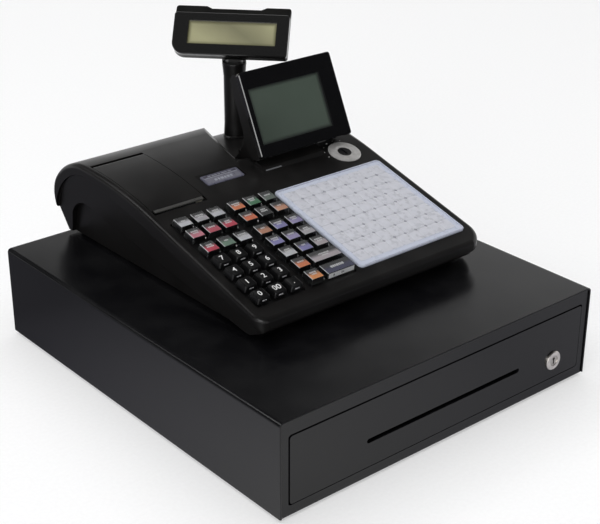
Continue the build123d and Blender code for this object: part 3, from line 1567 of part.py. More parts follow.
def customer_outline(crown, inset):
    """Front outline with one large lower corner, taller at the top by a crown."""
    half = customer_width / 2
    low = -customer_height / 2
    high = customer_height / 2 + crown
    shape = Pos(0, (low + high) / 2) * Rectangle(customer_width, high - low)
    big = shape.vertices().sort_by_distance((-half, low, 0))[0]
    shape = fillet(big, customer_big_corner)
    others = [v for v in shape.vertices() if v.Y > high - 0.1 or (v.X > half - 0.1 and v.Y < low + 0.1)]
    shape = fillet(others, customer_corner)
    if inset > 0:
        shape = offset(shape, amount=-inset, kind=Kind.INTERSECTION)
    return Pos(customer_side_shift, customer_axis_below) * shape


def customer_level(depth):
    """Plane at a depth behind the customer display's face, in its own frame."""
    return Plane(origin=(0, 0, customer_axis_behind - depth), x_dir=(1, 0, 0), z_dir=(0, 0, 1))


def customer_lcd_shape(margin):
    """LCD outline in the customer display's face."""
    shape = Rectangle(customer_lcd_width + 2 * margin, customer_lcd_height + 2 * margin)
    return Pos(customer_side_shift + customer_lcd_x, customer_axis_below + customer_lcd_up) * shape


def customer_front():
    """Gloss front shell of the customer display."""
    shell = extrude(customer_level(customer_front_depth) * customer_outline(0.0, 0.0), customer_front_depth)
    shell = chamfer(shell.faces().sort_by(Axis.Z)[-1].edges(), shell_edge)
    hollow = customer_level(customer_front_depth + 1) * customer_outline(0.0, shell_wall)
    shell = shell - extrude(hollow, customer_front_depth + 1 - shell_wall)
    window = extrude(customer_level(shell_wall + 1) * customer_lcd_shape(0.0), shell_wall + 2)
    return CUSTOMER * (shell - window)


def crown_wedge(x0, x1, top, front_depth):
    """Region below the sloping crown of the customer display, along its width."""
    base = customer_axis_below + customer_height / 2
    front = customer_axis_behind - front_depth
    slope = customer_axis_behind - customer_front_depth - customer_crown_depth
    rear = customer_axis_behind - customer_front_depth - customer_back_depth
    outline = Polyline((base, front), (top, slope), (top, rear - 1), (-60, rear - 1), (-60, front),
                       close=True)
    return across(side_face([outline]), x0, x1)


def customer_back():
    """Rear shell with its notched crown and the two hinge knuckles."""
    far = customer_front_depth + customer_back_depth
    shell = extrude(customer_level(far) * customer_outline(customer_crown, 0.0), customer_back_depth)
    shell = chamfer(shell.faces().sort_by(Axis.Z)[0].edges(), 2 * shell_edge)
    top = customer_axis_below + customer_height / 2 + customer_crown
    shell = shell & crown_wedge(-customer_width, customer_width, top, customer_front_depth)
    hollow = customer_level(far - shell_wall) * customer_outline(0.0, shell_wall)
    shell = shell - extrude(hollow, customer_back_depth)
    half = customer_notch_width / 2
    low = top - customer_notch_depth
    dip = Polyline((-half, top), (-half + customer_notch_slope, low), (half - customer_notch_slope, low),
                   (half, top), (half, top + 5), (-half, top + 5), close=True)
    shell = shell - extrude(Pos(0, 0, -10) * make_face(dip), 60)
    inner = tongue_thickness / 2 + knuckle_gap
    back_z = customer_axis_behind - far
    for side in (-1, 1):
        x0, x1 = sorted((side * inner, side * (inner + knuckle_thickness)))
        barrel = rod_x(x0, x1, 0, 0, tongue_radius)
        web = block(x0, x1, -tongue_radius, tongue_radius, 0, back_z + 0.5)
        shell = shell + barrel + web
    pin = rod_x(-inner - 1, inner + 1, 0, 0, knuckle_pin_radius)
    return CUSTOMER * (shell + pin)


def customer_lcd():
    """Glass panel behind the customer window."""
    depth = shell_wall + lcd_thickness
    return CUSTOMER * extrude(customer_level(depth) * customer_lcd_shape(lcd_margin), lcd_thickness)


# ---------------------------------------------------------------- nodes
numeric_rows = {3: ("7", "8", "9"), 2: ("4", "5", "6"), 1: ("1", "2", "3"), 0: ("0", "00", "point")}

cabinet_nodes = {
    "cabinet_cover": cabinet_cover(),
    "base_pan": base_pan(),
    "front_frame": front_frame(),
    "fixed_rails": solids_of(fixed_rail(-1), fixed_rail(1)),
    "latch_solenoid": latch_solenoid(),
    "latch_lever": latch_lever(),
    "drawer_box": solids_of(drawer_box(), drawer_striker()),
    "drawer_front": drawer_front(),
    "moving_rails": solids_of(moving_rail(-1), moving_rail(1)),
    "lock_body": lock_body(),
    "lock_plug": lock_plug(),
    "till_insert": till_insert(),
    "coin_tray": coin_tray(),
}
for bay in range(bay_count):
    cabinet_nodes[f"bill_clip_{bay + 1}"] = bill_clip(bay)

register_nodes = {
    "lower_case": lower_case(),
    "upper_case": upper_case(),
    "keyboard_plate": keyboard_plate(),
    "flat_keypad": flat_keypad(),
    "mode_ring": mode_ring(),
    "mode_rotor": mode_rotor(),
    "window_plate": window_plate(),
    "printer_cover": printer_cover(),
    "tear_bar": tear_bar(),
    "printer_frame": printer_frame(),
    "platen_roller": platen_roller(),
    "platen_gear": platen_gear(),
    "feed_pinion": feed_pinion(),
    "feed_motor": feed_motor(),
    "paper_roll": paper_roll(),
    "display_bezel": display_bezel(),
    "display_back": display_back(),
    "display_lcd": display_lcd(),
    "display_bracket": display_bracket(),
    "pole": pole(),
    "customer_front": customer_front(),
    "customer_back": customer_back(),
    "customer_lcd": customer_lcd(),
}
for row, names in numeric_rows.items():
    for column, name in enumerate(names):
        x = left_block_x + column * key_pitch
        register_nodes[f"key_{name}"] = key(x, row_s(row), 1, True)
for row in range(7):
    caps = []
    for column in range(3):
        if row > 3:
            caps.append(key(left_block_x + column * key_pitch, row_s(row), 1, False))
        if row > 1 or column == 0:
            caps.append(key(right_block_x + column * key_pitch, row_s(row), 1, False))
    if row < 2:
        caps.append(key(right_block_x + 1.5 * key_pitch, row_s(row), 2, False))
    register_nodes[f"function_keys_{row + 1}"] = solids_of(*caps)


def placed(shape, where):
    """Solids of a node moved to their place in the object."""
    moved = [where * solid for solid in shape.solids()]
    return moved[0] if len(moved) == 1 else Compound(children=moved)


rear_reach = register_setback + register_nodes["customer_back"].bounding_box().max.Y
front_y = (lock_proud - rear_reach) / 2
register_front_y = front_y + register_setback
CABINET = Location((0, front_y, 0))
REGISTER = Location((register_offset_x, register_front_y, roof_z))

nodes = {"rubber_feet": rubber_feet()}
for name, shape in cabinet_nodes.items():
    nodes[name] = placed(shape, CABINET)
for name, shape in register_nodes.items():
    nodes[name] = placed(shape, REGISTER)

for name, shape in nodes.items():
    export_step(shape, f"parts/{name}.step")
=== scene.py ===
import logging
import math
from dataclasses import dataclass, field
from enum import Enum
from typing import Callable, Sequence, Union

import bmesh
import bpy
from mathutils import Matrix, Vector


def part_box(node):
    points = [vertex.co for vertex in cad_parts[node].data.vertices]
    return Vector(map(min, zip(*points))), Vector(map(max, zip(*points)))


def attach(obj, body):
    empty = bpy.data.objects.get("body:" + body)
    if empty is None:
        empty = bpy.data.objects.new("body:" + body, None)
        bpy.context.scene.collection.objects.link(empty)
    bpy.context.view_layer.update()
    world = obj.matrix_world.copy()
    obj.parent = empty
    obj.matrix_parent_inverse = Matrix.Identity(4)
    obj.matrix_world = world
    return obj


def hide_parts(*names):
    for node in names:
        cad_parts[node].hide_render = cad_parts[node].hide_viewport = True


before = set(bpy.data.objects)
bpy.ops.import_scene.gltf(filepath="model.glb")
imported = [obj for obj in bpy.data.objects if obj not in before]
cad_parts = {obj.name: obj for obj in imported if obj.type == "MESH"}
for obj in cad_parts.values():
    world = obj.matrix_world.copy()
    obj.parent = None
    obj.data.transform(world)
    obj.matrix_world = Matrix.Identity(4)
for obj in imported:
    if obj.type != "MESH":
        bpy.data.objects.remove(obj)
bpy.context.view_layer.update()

LOG = logging.getLogger("ticket_register")
MM = 0.001

Triple = tuple[float, float, float]
Colour = Triple
Span = tuple[float, float]
Socket = bpy.types.NodeSocket
Value = Union[float, tuple, Socket]
BLACK: Colour = (0.0, 0.0, 0.0)
WHITE: Colour = (1.0, 1.0, 1.0)
NEAR = 0.05  # millimetres within which two heights are one
FACING = 0.9  # least part of a normal along the way that it faces
STEEP = 0.8  # most run for its rise that an upright edge has


def grey(red: int, green: int, blue: int) -> Colour:
    """Linear colour of an everyday 0 to 255 colour, as the shader reads it."""
    shares = (level / 255 for level in (red, green, blue))
    return tuple(s / 12.92 if s <= 0.04045 else ((s + 0.055) / 1.055) ** 2.4 for s in shares)


def tone(colour: Colour, share: float, lift: float = 0.0) -> Colour:
    """A colour scaled by a share and lifted, held below white."""
    return tuple(min(1.0, share * channel + lift) for channel in colour)


def middle_of(node: str) -> Vector:
    """Middle of a CAD node's box, in metres."""
    low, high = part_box(node)
    return (low + high) / 2


def turned(degrees: float, axis: str) -> Matrix:
    """A turn about an axis."""
    return Matrix.Rotation(math.radians(degrees), 4, axis)


def shifted(x: float, y: float, z: float) -> Matrix:
    """A shift that is given in millimetres."""
    return Matrix.Translation(Vector((x, y, z)) * MM)


# ------------------------------------------------------------------ places
@dataclass(frozen=True)
class Layout:
    """Where the register's slopes and faces lie. Lengths are millimetres, angles degrees."""

    deck_angle: float = 15.0
    deck_start_y: float = 1.5
    deck_start_z: float = 28.2
    display_lean: float = 25.5
    display_bottom_y: float = 188.2
    display_bottom_z: float = 92.4
    customer_turn: float = -47.0
    customer_lean: float = 40.0
    customer_setback: float = 3.8
    customer_axis_z: float = 168.8

    def corner(self) -> Vector:
        """Middle of the register's front edge on the drawer's top, in metres."""
        return Vector((middle_of("upper_case").x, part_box("upper_case")[0].y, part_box("cabinet_cover")[1].z))

    def deck(self, x: float, s: float, height: float = 0.0) -> Matrix:
        """Matrix of a spot on the sloping deck, its z axis out of the deck.

        Args:
            x: Distance to the right of the middle.
            s: Distance up the slope from the deck's front edge.
            height: Distance out of the deck.

        Returns:
            The placing matrix, in metres.
        """
        start = Vector((0, self.deck_start_y, self.deck_start_z)) * MM
        slope = Matrix.Translation(self.corner() + start) @ turned(self.deck_angle, "X")
        return slope @ shifted(x, s, height)

    def display(self) -> Matrix:
        """Matrix of the operator display's face, at the middle of its bottom edge.

        Returns:
            The placing matrix, in metres.
        """
        start = Vector((0, self.display_bottom_y, self.display_bottom_z)) * MM + self.corner()
        start.x = middle_of("display_bezel").x
        return Matrix.Translation(start) @ turned(90 - self.display_lean, "X")

    def knuckle(self) -> Matrix:
        """Matrix at the customer display's tilting axis, x along the axis, z up.

        Returns:
            The placing matrix, in metres.
        """
        post = middle_of("pole")
        post.z = self.corner().z + self.customer_axis_z * MM
        post_frame = Matrix.Translation(post) @ turned(self.customer_turn, "Z")
        return post_frame @ shifted(0, self.customer_setback, 0)

    def customer(self) -> Matrix:
        """Matrix of the customer display, at its tilting axis, z out of its face."""
        return self.knuckle() @ turned(90 - self.customer_lean, "X")


LAYOUT = Layout()


# ------------------------------------------------------------------ shader graphs
@dataclass(frozen=True)
class Spread:
    """A noise, and the two of its levels that are spread over 0 to 1."""

    scale: float
    low: float
    high: float
    detail: float = 3.0


class Graph:
    """A node tree that is wired by calls."""

    def __init__(self, tree: bpy.types.NodeTree) -> None:
        """Starts on a tree that may already hold nodes."""
        self.tree = tree

    def node(self, kind: str, inputs: dict | None = None, **settings: object) -> bpy.types.Node:
        """Adds a node.

        Args:
            kind: Blender's node type.
            inputs: Value or socket for each input, by name or number.
            settings: The node's own properties.

        Returns:
            The node.
        """
        made = self.tree.nodes.new(kind)
        for name, value in settings.items():
            setattr(made, name, value)
        for name, value in (inputs or {}).items():
            self.feed(made.inputs[name], value)
        return made

    def feed(self, socket: Socket, value: Value) -> None:
        """Links a socket to an input, or sets the input's own value.

        Args:
            socket: The input.
            value: A socket, a colour or a number.
        """
        if isinstance(value, Socket):
            self.tree.links.new(value, socket)
        elif isinstance(value, tuple) and socket.type == "RGBA" and len(value) == 3:
            socket.default_value = (*value, 1.0)
        else:
            socket.default_value = value

    def math(self, operation: str, first: Value, second: Value = 0.0, clamp: bool = False) -> Socket:
        """Output of a Math node."""
        made = self.node("ShaderNodeMath", {0: first, 1: second}, operation=operation, use_clamp=clamp)
        return made.outputs[0]

    def times(self, first: Value, second: Value) -> Socket:
        """Product of two values."""
        return self.math("MULTIPLY", first, second)

    def plus(self, first: Value, second: Value) -> Socket:
        """Sum of two values."""
        return self.math("ADD", first, second)

    def minus(self, first: Value, second: Value) -> Socket:
        """First value less the second."""
        return self.math("SUBTRACT", first, second)

    def mix(self, share: Value, first: Value, second: Value, blend: str = "MIX") -> Socket:
        """Colour between two colours."""
        made = self.node("ShaderNodeMix", {0: share, 6: first, 7: second}, data_type="RGBA", blend_type=blend)
        return made.outputs[2]

    def between(self, value: Value, low: float, high: float, start: float = 0.0, end: float = 1.0) -> Socket:
        """A value mapped from one span to another and held inside it."""
        return self.node("ShaderNodeMapRange", {0: value, 1: low, 2: high, 3: start, 4: end}).outputs[0]

    def noise(self, vector: Value, scale: Value, detail: float = 3.0) -> Socket:
        """Value of a noise texture."""
        made = self.node("ShaderNodeTexNoise", {"Vector": vector, "Scale": scale, "Detail": detail})
        return made.outputs["Fac"]

    def patches(self, vector: Value, spread: Spread) -> Socket:
        """Soft patches from 0 to 1."""
        return self.between(self.noise(vector, spread.scale, spread.detail), spread.low, spread.high)

    def local(self, place: Matrix | None = None, scale: Sequence[float] = (1, 1, 1)) -> Socket:
        """Object coordinates, read in a placed frame of their own when one is given.

        Args:
            place: The frame, or None for the object's own.
            scale: Stretch of the pattern along each axis.

        Returns:
            The coordinates.
        """
        coordinates = self.node("ShaderNodeTexCoord").outputs["Object"]
        if place is None and tuple(scale) == (1, 1, 1):
            return coordinates
        place = place or Matrix.Identity(4)
        made = self.node("ShaderNodeMapping", {"Vector": coordinates}, vector_type="TEXTURE")
        made.inputs["Location"].default_value = place.to_translation()
        made.inputs["Rotation"].default_value = place.to_euler()
        made.inputs["Scale"].default_value = tuple(scale)
        return made.outputs[0]

    def axes(self, vector: Socket) -> list[Socket]:
        """The x, y and z of a vector."""
        return list(self.node("ShaderNodeSeparateXYZ", {0: vector}).outputs)

    def radius(self, vector: Socket) -> Socket:
        """Distance from the z axis."""
        x, y, _ = self.axes(vector)
        return self.math("SQRT", self.plus(self.times(x, x), self.times(y, y)))

    def toward(self, x: Socket, y: Socket, direction: Span) -> Socket:
        """Distance along a level direction."""
        return self.plus(self.times(x, direction[0]), self.times(y, direction[1]))


class Group(Graph):
    """A shader node group with named inputs and outputs."""

    def __init__(self, name: str, inputs: dict[str, float | None], outputs: Sequence[str]) -> None:
        """Makes the group and its sockets.

        Args:
            name: The group's name.
            inputs: Default of each number, or None for a vector.
            outputs: Names of the values that it puts out.
        """
        super().__init__(bpy.data.node_groups.new(name, "ShaderNodeTree"))
        for label, default in inputs.items():
            kind = "NodeSocketVector" if default is None else "NodeSocketFloat"
            item = self.tree.interface.new_socket(name=label, in_out="INPUT", socket_type=kind)
            if default is not None:
                item.default_value = default
        for label in outputs:
            self.tree.interface.new_socket(name=label, in_out="OUTPUT", socket_type="NodeSocketFloat")
        self.given = self.node("NodeGroupInput").outputs
        self.result = self.node("NodeGroupOutput").inputs


class Effects:
    """The shader effects that several finishes share."""

    fine_grain: float = 0.6
    slow_grain: float = 0.008
    pit_share: float = 0.5
    edge_span: Span = (0.02, 0.22)
    rubs: Spread = Spread(260.0, 0.38, 0.62)
    level_span: Span = (0.4, 1.0)
    dust_cloud: Spread = Spread(28.0, 0.4, 0.75, 5.0)
    dust_specks: Spread = Spread(1400.0, 0.62, 0.7, 2.0)
    cloud_share: float = 0.7
    speck_share: float = 0.5
    line_stretch: Triple = (0.02, 1.0, 1.0)

    def __init__(self) -> None:
        """Builds each group once."""
        self.grain = self.build_grain()
        self.wear = self.build_wear()
        self.dust = self.build_dust()
        self.brushed = self.build_brushed()
        self.frame = self.build_frame()

    def build_grain(self) -> bpy.types.NodeTree:
        """Spark-eroded mould grain: fine pits over a slow unevenness.

        Returns:
            The node group.
        """
        group = Group("mould_grain", {"Vector": None, "Scale": 2200.0}, ("Height", "Shade"))
        vector, scale = group.given["Vector"], group.given["Scale"]
        pits = group.node("ShaderNodeTexVoronoi", {"Vector": vector, "Scale": scale}).outputs["Distance"]
        fine = group.noise(vector, group.times(scale, self.fine_grain), 4.0)
        group.feed(group.result["Height"], group.plus(group.times(pits, self.pit_share), fine))
        slow = group.noise(vector, group.times(scale, self.slow_grain), 2.0)
        group.feed(group.result["Shade"], group.between(slow, 0.3, 0.7))
        return group.tree

    def build_wear(self) -> bpy.types.NodeTree:
        """Rubbed edges, broken up by noise.

        Returns:
            The node group.
        """
        group = Group("edge_wear", {"Vector": None, "Radius": 0.0006, "Strength": 1.0}, ("Mask",))
        soft = group.node("ShaderNodeBevel", {"Radius": group.given["Radius"]}, samples=4).outputs[0]
        true = group.node("ShaderNodeNewGeometry").outputs["Normal"]
        facing = group.node("ShaderNodeVectorMath", {0: soft, 1: true}, operation="DOT_PRODUCT")
        edge = group.between(group.minus(1.0, facing.outputs["Value"]), *self.edge_span)
        rubbed = group.times(edge, group.patches(group.given["Vector"], self.rubs))
        group.feed(group.result["Mask"], group.math("MULTIPLY", rubbed, group.given["Strength"], clamp=True))
        return group.tree

    def build_dust(self) -> bpy.types.NodeTree:
        """Thin dust that lies on what faces up.

        Returns:
            The node group.
        """
        group = Group("dust", {"Vector": None, "Amount": 0.1}, ("Mask",))
        up = group.axes(group.node("ShaderNodeNewGeometry").outputs["Normal"])[2]
        cloud = group.patches(group.given["Vector"], self.dust_cloud)
        specks = group.patches(group.given["Vector"], self.dust_specks)
        spread = group.plus(group.times(cloud, self.cloud_share), group.times(specks, self.speck_share))
        lying = group.times(group.times(group.between(up, *self.level_span), spread), group.given["Amount"])
        group.feed(group.result["Mask"], group.math("MINIMUM", lying, 1.0))
        return group.tree

    def build_brushed(self) -> bpy.types.NodeTree:
        """Fine parallel lines along the x axis of the vector given.

        Returns:
            The node group.
        """
        group = Group("brushed_lines", {"Vector": None, "Scale": 900.0}, ("Height",))
        stretch = group.node("ShaderNodeVectorMath", {0: group.given["Vector"], 1: self.line_stretch},
                             operation="MULTIPLY").outputs[0]
        group.feed(group.result["Height"], group.noise(stretch, group.given["Scale"], 2.0))
        return group.tree

    def build_frame(self) -> bpy.types.NodeTree:
        """How far inside a rectangle a point of the xy plane lies: 0 at its edge.

        Returns:
            The node group.
        """
        inputs = {"Vector": None, "Half Width": 0.05, "Half Height": 0.05, "Blend": 0.001}
        group = Group("inside_rectangle", inputs, ("Mask",))
        x, y, _ = group.axes(group.given["Vector"])
        across = group.minus(group.given["Half Width"], group.math("ABSOLUTE", x))
        along = group.minus(group.given["Half Height"], group.math("ABSOLUTE", y))
        nearest = group.math("MINIMUM", across, along)
        group.feed(group.result["Mask"], group.math("DIVIDE", nearest, group.given["Blend"], clamp=True))
        return group.tree


EFFECTS = Effects()


class Recipe(Graph):
    """The node tree of one material, round its Principled shader."""

    def __init__(self, name: str, **constants: object) -> None:
        """Makes the material.

        Args:
            name: The material's name.
            constants: Values for the shader's sockets, spaces written as underscores.
        """
        self.material = bpy.data.materials.new(name)
        self.material.use_nodes = True
        super().__init__(self.material.node_tree)
        self.shader = self.tree.nodes["Principled BSDF"]
        for label, value in constants.items():
            self.set(label.replace("_", " "), value)

    def set(self, label: str, value: Value) -> None:
        """Sets or links one of the shader's sockets."""
        self.feed(self.shader.inputs[label], value)

    def rough(self, mask: Socket, least: float, most: float, span: Span = (0.0, 1.0)) -> None:
        """Sets the roughness from least to most as a mask crosses a span."""
        self.set("Roughness", self.between(mask, *span, least, most))

    def effect(self, tree: bpy.types.NodeTree, **inputs: Value) -> bpy.types.bpy_prop_collection:
        """Places a shared effect and returns its outputs.

        Args:
            tree: The effect's group.
            inputs: Value or socket of each input, spaces written as underscores.

        Returns:
            The group's outputs.
        """
        made = self.node("ShaderNodeGroup", node_tree=tree)
        for label, value in inputs.items():
            self.feed(made.inputs[label.replace("_", " ")], value)
        return made.outputs

    def rubbed(self, spot: Socket, radius: float, strength: float) -> Socket:
        """Mask of the rubbed edges."""
        return self.effect(EFFECTS.wear, Vector=spot, Radius=radius, Strength=strength)["Mask"]

    def inside(self, spot: Socket, half_width: float, half_height: float, blend: float) -> Socket:
        """Mask of a rectangle, soft over a blend at its edge. Lengths are millimetres."""
        sizes = {"Half_Width": half_width * MM, "Half_Height": half_height * MM, "Blend": blend * MM}
        return self.effect(EFFECTS.frame, Vector=spot, **sizes)["Mask"]

    def bump(self, height: Socket, depth: float, strength: float = 1.0) -> None:
        """Bends the normal by a height, in metres of depth."""
        made = self.node("ShaderNodeBump", {"Height": height, "Distance": depth, "Strength": strength})
        self.set("Normal", made.outputs[0])


# ------------------------------------------------------------------ finishes
@dataclass(frozen=True)
class Moulded:
    """Satin moulded plastic with mould grain, rubbed edges and a little dust."""

    name: str
    colour: Colour
    roughness: float = 0.42
    grain_scale: float = 2200.0
    grain_depth: float = 0.00002
    wear: float = 0.35
    dust: float = 0.06
    sheen: float = 0.32
    edge_radius: float = 0.0007
    dust_colour: Colour = (0.14, 0.135, 0.13)
    unevenness: float = 0.04
    polish: float = 0.12
    dust_bloom: float = 0.4
    dark: float = 0.8
    rubbed: Span = (2.2, 0.01)

    def build(self) -> bpy.types.Material:
        """Makes the material.

        Returns:
            The material.
        """
        recipe = Recipe(self.name, Specular_IOR_Level=self.sheen)
        spot = recipe.local()
        grain = recipe.effect(EFFECTS.grain, Vector=spot, Scale=self.grain_scale)
        wear = recipe.rubbed(spot, self.edge_radius, self.wear)
        dust = recipe.effect(EFFECTS.dust, Vector=spot, Amount=self.dust)["Mask"]
        base = recipe.mix(grain["Shade"], tone(self.colour, self.dark), self.colour)
        base = recipe.mix(wear, base, tone(self.colour, *self.rubbed))
        recipe.set("Base Color", recipe.mix(dust, base, self.dust_colour))
        least, most = self.roughness - self.unevenness, self.roughness + self.unevenness
        rough = recipe.between(grain["Shade"], 0.0, 1.0, least, most)
        rough = recipe.minus(rough, recipe.times(wear, self.polish))
        recipe.set("Roughness", recipe.plus(rough, recipe.times(dust, self.dust_bloom)))
        recipe.bump(grain["Height"], self.grain_depth)
        return recipe.material


@dataclass(frozen=True)
class PowderCoat:
    """Textured powder paint on folded sheet steel."""

    name: str
    colour: Colour
    roughness: float = 0.23
    texture: float = 1100.0
    texture_depth: float = 0.00002
    texture_strength: float = 0.6
    wear: float = 0.5
    sheen: float = 0.34
    slow: Spread = Spread(9.0, 0.35, 0.65)
    peaks: Span = (0.55, 0.75)
    edge_radius: float = 0.0008
    edge_colour: Colour = (0.05, 0.05, 0.055)
    dust: float = 0.05
    dust_colour: Colour = (0.12, 0.12, 0.12)
    dark: float = 0.86
    bright: float = 1.25
    unevenness: Span = (-0.03, 0.04)

    def build(self) -> bpy.types.Material:
        """Makes the material.

        Returns:
            The material.
        """
        recipe = Recipe(self.name, Specular_IOR_Level=self.sheen)
        spot = recipe.local()
        orange_peel = recipe.noise(spot, self.texture, 2.0)
        slow = recipe.patches(spot, self.slow)
        wear = recipe.rubbed(spot, self.edge_radius, self.wear)
        dust = recipe.effect(EFFECTS.dust, Vector=spot, Amount=self.dust)["Mask"]
        base = recipe.mix(slow, tone(self.colour, self.dark), self.colour)
        base = recipe.mix(recipe.between(orange_peel, *self.peaks), base, tone(self.colour, self.bright))
        base = recipe.mix(wear, base, self.edge_colour)
        recipe.set("Base Color", recipe.mix(dust, base, self.dust_colour))
        recipe.rough(slow, *(self.roughness + change for change in self.unevenness))
        recipe.bump(orange_peel, self.texture_depth, self.texture_strength)
        return recipe.material


@dataclass(frozen=True)
class Gloss:
    """High-gloss moulded plastic with faint wipe marks."""

    name: str
    colour: Colour
    roughness: float = 0.1
    smear: Spread = Spread(60.0, 0.45, 0.8, 4.0)
    smear_stretch: Triple = (1.0, 0.25, 1.0)
    edge_radius: float = 0.0004
    wear: float = 0.5
    rubbed: Span = (4.0, 0.02)
    smear_bloom: float = 0.1
    coat: Span = (0.5, 0.2)
    ripple: float = 700.0
    ripple_depth: float = 0.000004
    ripple_strength: float = 0.5

    def build(self) -> bpy.types.Material:
        """Makes the material.

        Returns:
            The material.
        """
        recipe = Recipe(self.name, IOR=1.5, Coat_Roughness=0.04)
        smear = recipe.patches(recipe.local(scale=self.smear_stretch), self.smear)
        spot = recipe.local()
        wear = recipe.rubbed(spot, self.edge_radius, self.wear)
        recipe.set("Base Color", recipe.mix(wear, self.colour, tone(self.colour, *self.rubbed)))
        recipe.rough(smear, self.roughness, self.roughness + self.smear_bloom)
        recipe.set("Coat Weight", recipe.between(smear, 0.0, 1.0, *self.coat))
        recipe.bump(recipe.noise(spot, self.ripple, 2.0), self.ripple_depth, self.ripple_strength)
        return recipe.material


@dataclass(frozen=True)
class Metal:
    """Plated or bare metal with brushed lines and a mottled sheen."""

    name: str
    colour: Colour
    roughness: float = 0.28
    lines: float = 900.0
    depth: float = 0.000006
    mottle: float = 0.15
    patch: Spread = Spread(45.0, 0.35, 0.7, 4.0)
    patch_bloom: float = 0.06
    line_span: Span = (0.3, 0.7)
    unevenness: Span = (-0.06, 0.08)

    def build(self) -> bpy.types.Material:
        """Makes the material.

        Returns:
            The material.
        """
        recipe = Recipe(self.name, Metallic=1.0)
        spot = recipe.local()
        line = recipe.effect(EFFECTS.brushed, Vector=spot, Scale=self.lines)["Height"]
        patch = recipe.patches(spot, self.patch)
        recipe.set("Base Color", recipe.mix(patch, tone(self.colour, 1 - self.mottle), self.colour))
        least, most = (self.roughness + change for change in self.unevenness)
        uneven = recipe.between(line, *self.line_span, least, most)
        recipe.set("Roughness", recipe.plus(uneven, recipe.times(patch, self.patch_bloom)))
        recipe.bump(line, self.depth)
        return recipe.material


@dataclass(frozen=True)
class SpunMetal:
    """Turned metal: rings of fine tool marks round an axis."""

    name: str
    colour: Colour
    roughness: float = 0.24
    metallic: float = 1.0
    rings: float = 42000.0
    ring_share: float = 0.5
    jitter: float = 900.0
    mark_span: Span = (-0.5, 1.5)
    mark_depth: float = 0.000004
    unevenness: float = 0.14
    patch: Spread = Spread(160.0, 0.35, 0.65)
    dark: float = 0.8

    def build(self, place: Matrix) -> bpy.types.Material:
        """Makes the material.

        Args:
            place: Frame whose z axis is the turning axis.

        Returns:
            The material.
        """
        recipe = Recipe(self.name, Metallic=self.metallic, Anisotropic=0.4)
        spot = recipe.local(place)
        rings = recipe.math("SINE", recipe.times(recipe.radius(spot), self.rings))
        mark = recipe.plus(recipe.times(rings, self.ring_share), recipe.noise(spot, self.jitter, 2.0))
        patch = recipe.patches(spot, self.patch)
        recipe.set("Base Color", recipe.mix(patch, tone(self.colour, self.dark), self.colour))
        recipe.rough(mark, self.roughness, self.roughness + self.unevenness, self.mark_span)
        recipe.bump(mark, self.mark_depth)
        return recipe.material


@dataclass(frozen=True)
class Rubber:
    """Matt rubber with a dusty bloom."""

    name: str
    colour: Colour = (0.018, 0.018, 0.018)
    bloom: Spread = Spread(180.0, 0.35, 0.75, 4.0)
    bloomed: Span = (2.0, 0.01)
    roughness: Span = (0.62, 0.85)
    texture: float = 1500.0
    texture_depth: float = 0.00003

    def build(self) -> bpy.types.Material:
        """Makes the material.

        Returns:
            The material.
        """
        recipe = Recipe(self.name, IOR=1.48)
        spot = recipe.local()
        bloom = recipe.patches(spot, self.bloom)
        recipe.set("Base Color", recipe.mix(bloom, self.colour, tone(self.colour, *self.bloomed)))
        recipe.rough(bloom, *self.roughness)
        recipe.bump(recipe.noise(spot, self.texture), self.texture_depth)
        return recipe.material


@dataclass(frozen=True)
class LiquidCrystal:
    """Unlit liquid crystal panel behind glass, darker towards its seal; a painted reflection darkens a slanted
    band and brightens the rest. The middle is in millimetres.
    """

    name: str
    colour: Colour
    edge: Colour
    half_width: float
    half_height: float
    middle: Span
    pitch: float = 0.45
    # the next four fields place and shape the painted reflection band across the crystal
    reflection_valley: float = -0.07
    spread: float = 0.1
    reflection_shades: Span = (0.78, 1.15)
    reflection_slant: Span = (1.0, 1.4)
    seal: float = 4.0
    cloud: Spread = Spread(22.0, 0.3, 0.7)
    reflection_cloud_shares: Span = (0.8, 0.2)
    dot_span: Span = (0.2, 1.0)
    dot_shade: float = 0.93
    roughness: Span = (0.3, 0.42)

    def build(self, place: Matrix) -> bpy.types.Material:
        """Makes the material.

        Args:
            place: Frame of the panel's face.

        Returns:
            The material.
        """
        recipe = Recipe(self.name, IOR=1.5, Coat_Roughness=0.03, Coat_Weight=0.6)
        spot = recipe.local(place @ shifted(*self.middle, 0))
        x, y, _ = recipe.axes(spot)
        seal = recipe.inside(spot, self.half_width, self.half_height, self.seal)
        # painted reflection: darker along a slanted line across the panel, paler away from it, with a little
        # random cloud mixed in
        off_reflection_valley = recipe.math("ABSOLUTE", recipe.minus(recipe.toward(x, y, self.reflection_slant), self.reflection_valley))
        cloud = recipe.patches(spot, self.cloud)
        reflection_and_cloud = recipe.plus(recipe.times(recipe.between(off_reflection_valley, 0.0, self.spread), self.reflection_cloud_shares[0]),
                           recipe.times(cloud, self.reflection_cloud_shares[1]))
        field_colour = recipe.mix(reflection_and_cloud, *(tone(self.colour, share) for share in self.reflection_shades))
        step = 2 * math.pi / (self.pitch * MM)
        dots = recipe.times(*(recipe.math("SINE", recipe.times(axis, step)) for axis in (x, y)))
        dark = recipe.between(dots, *self.dot_span, 1.0, self.dot_shade)
        shade = recipe.node("ShaderNodeCombineColor", {0: dark, 1: dark, 2: dark}).outputs[0]
        dotted = recipe.mix(1.0, field_colour, shade, "MULTIPLY")
        recipe.set("Base Color", recipe.mix(seal, self.edge, dotted))
        recipe.rough(cloud, *self.roughness)
        return recipe.material


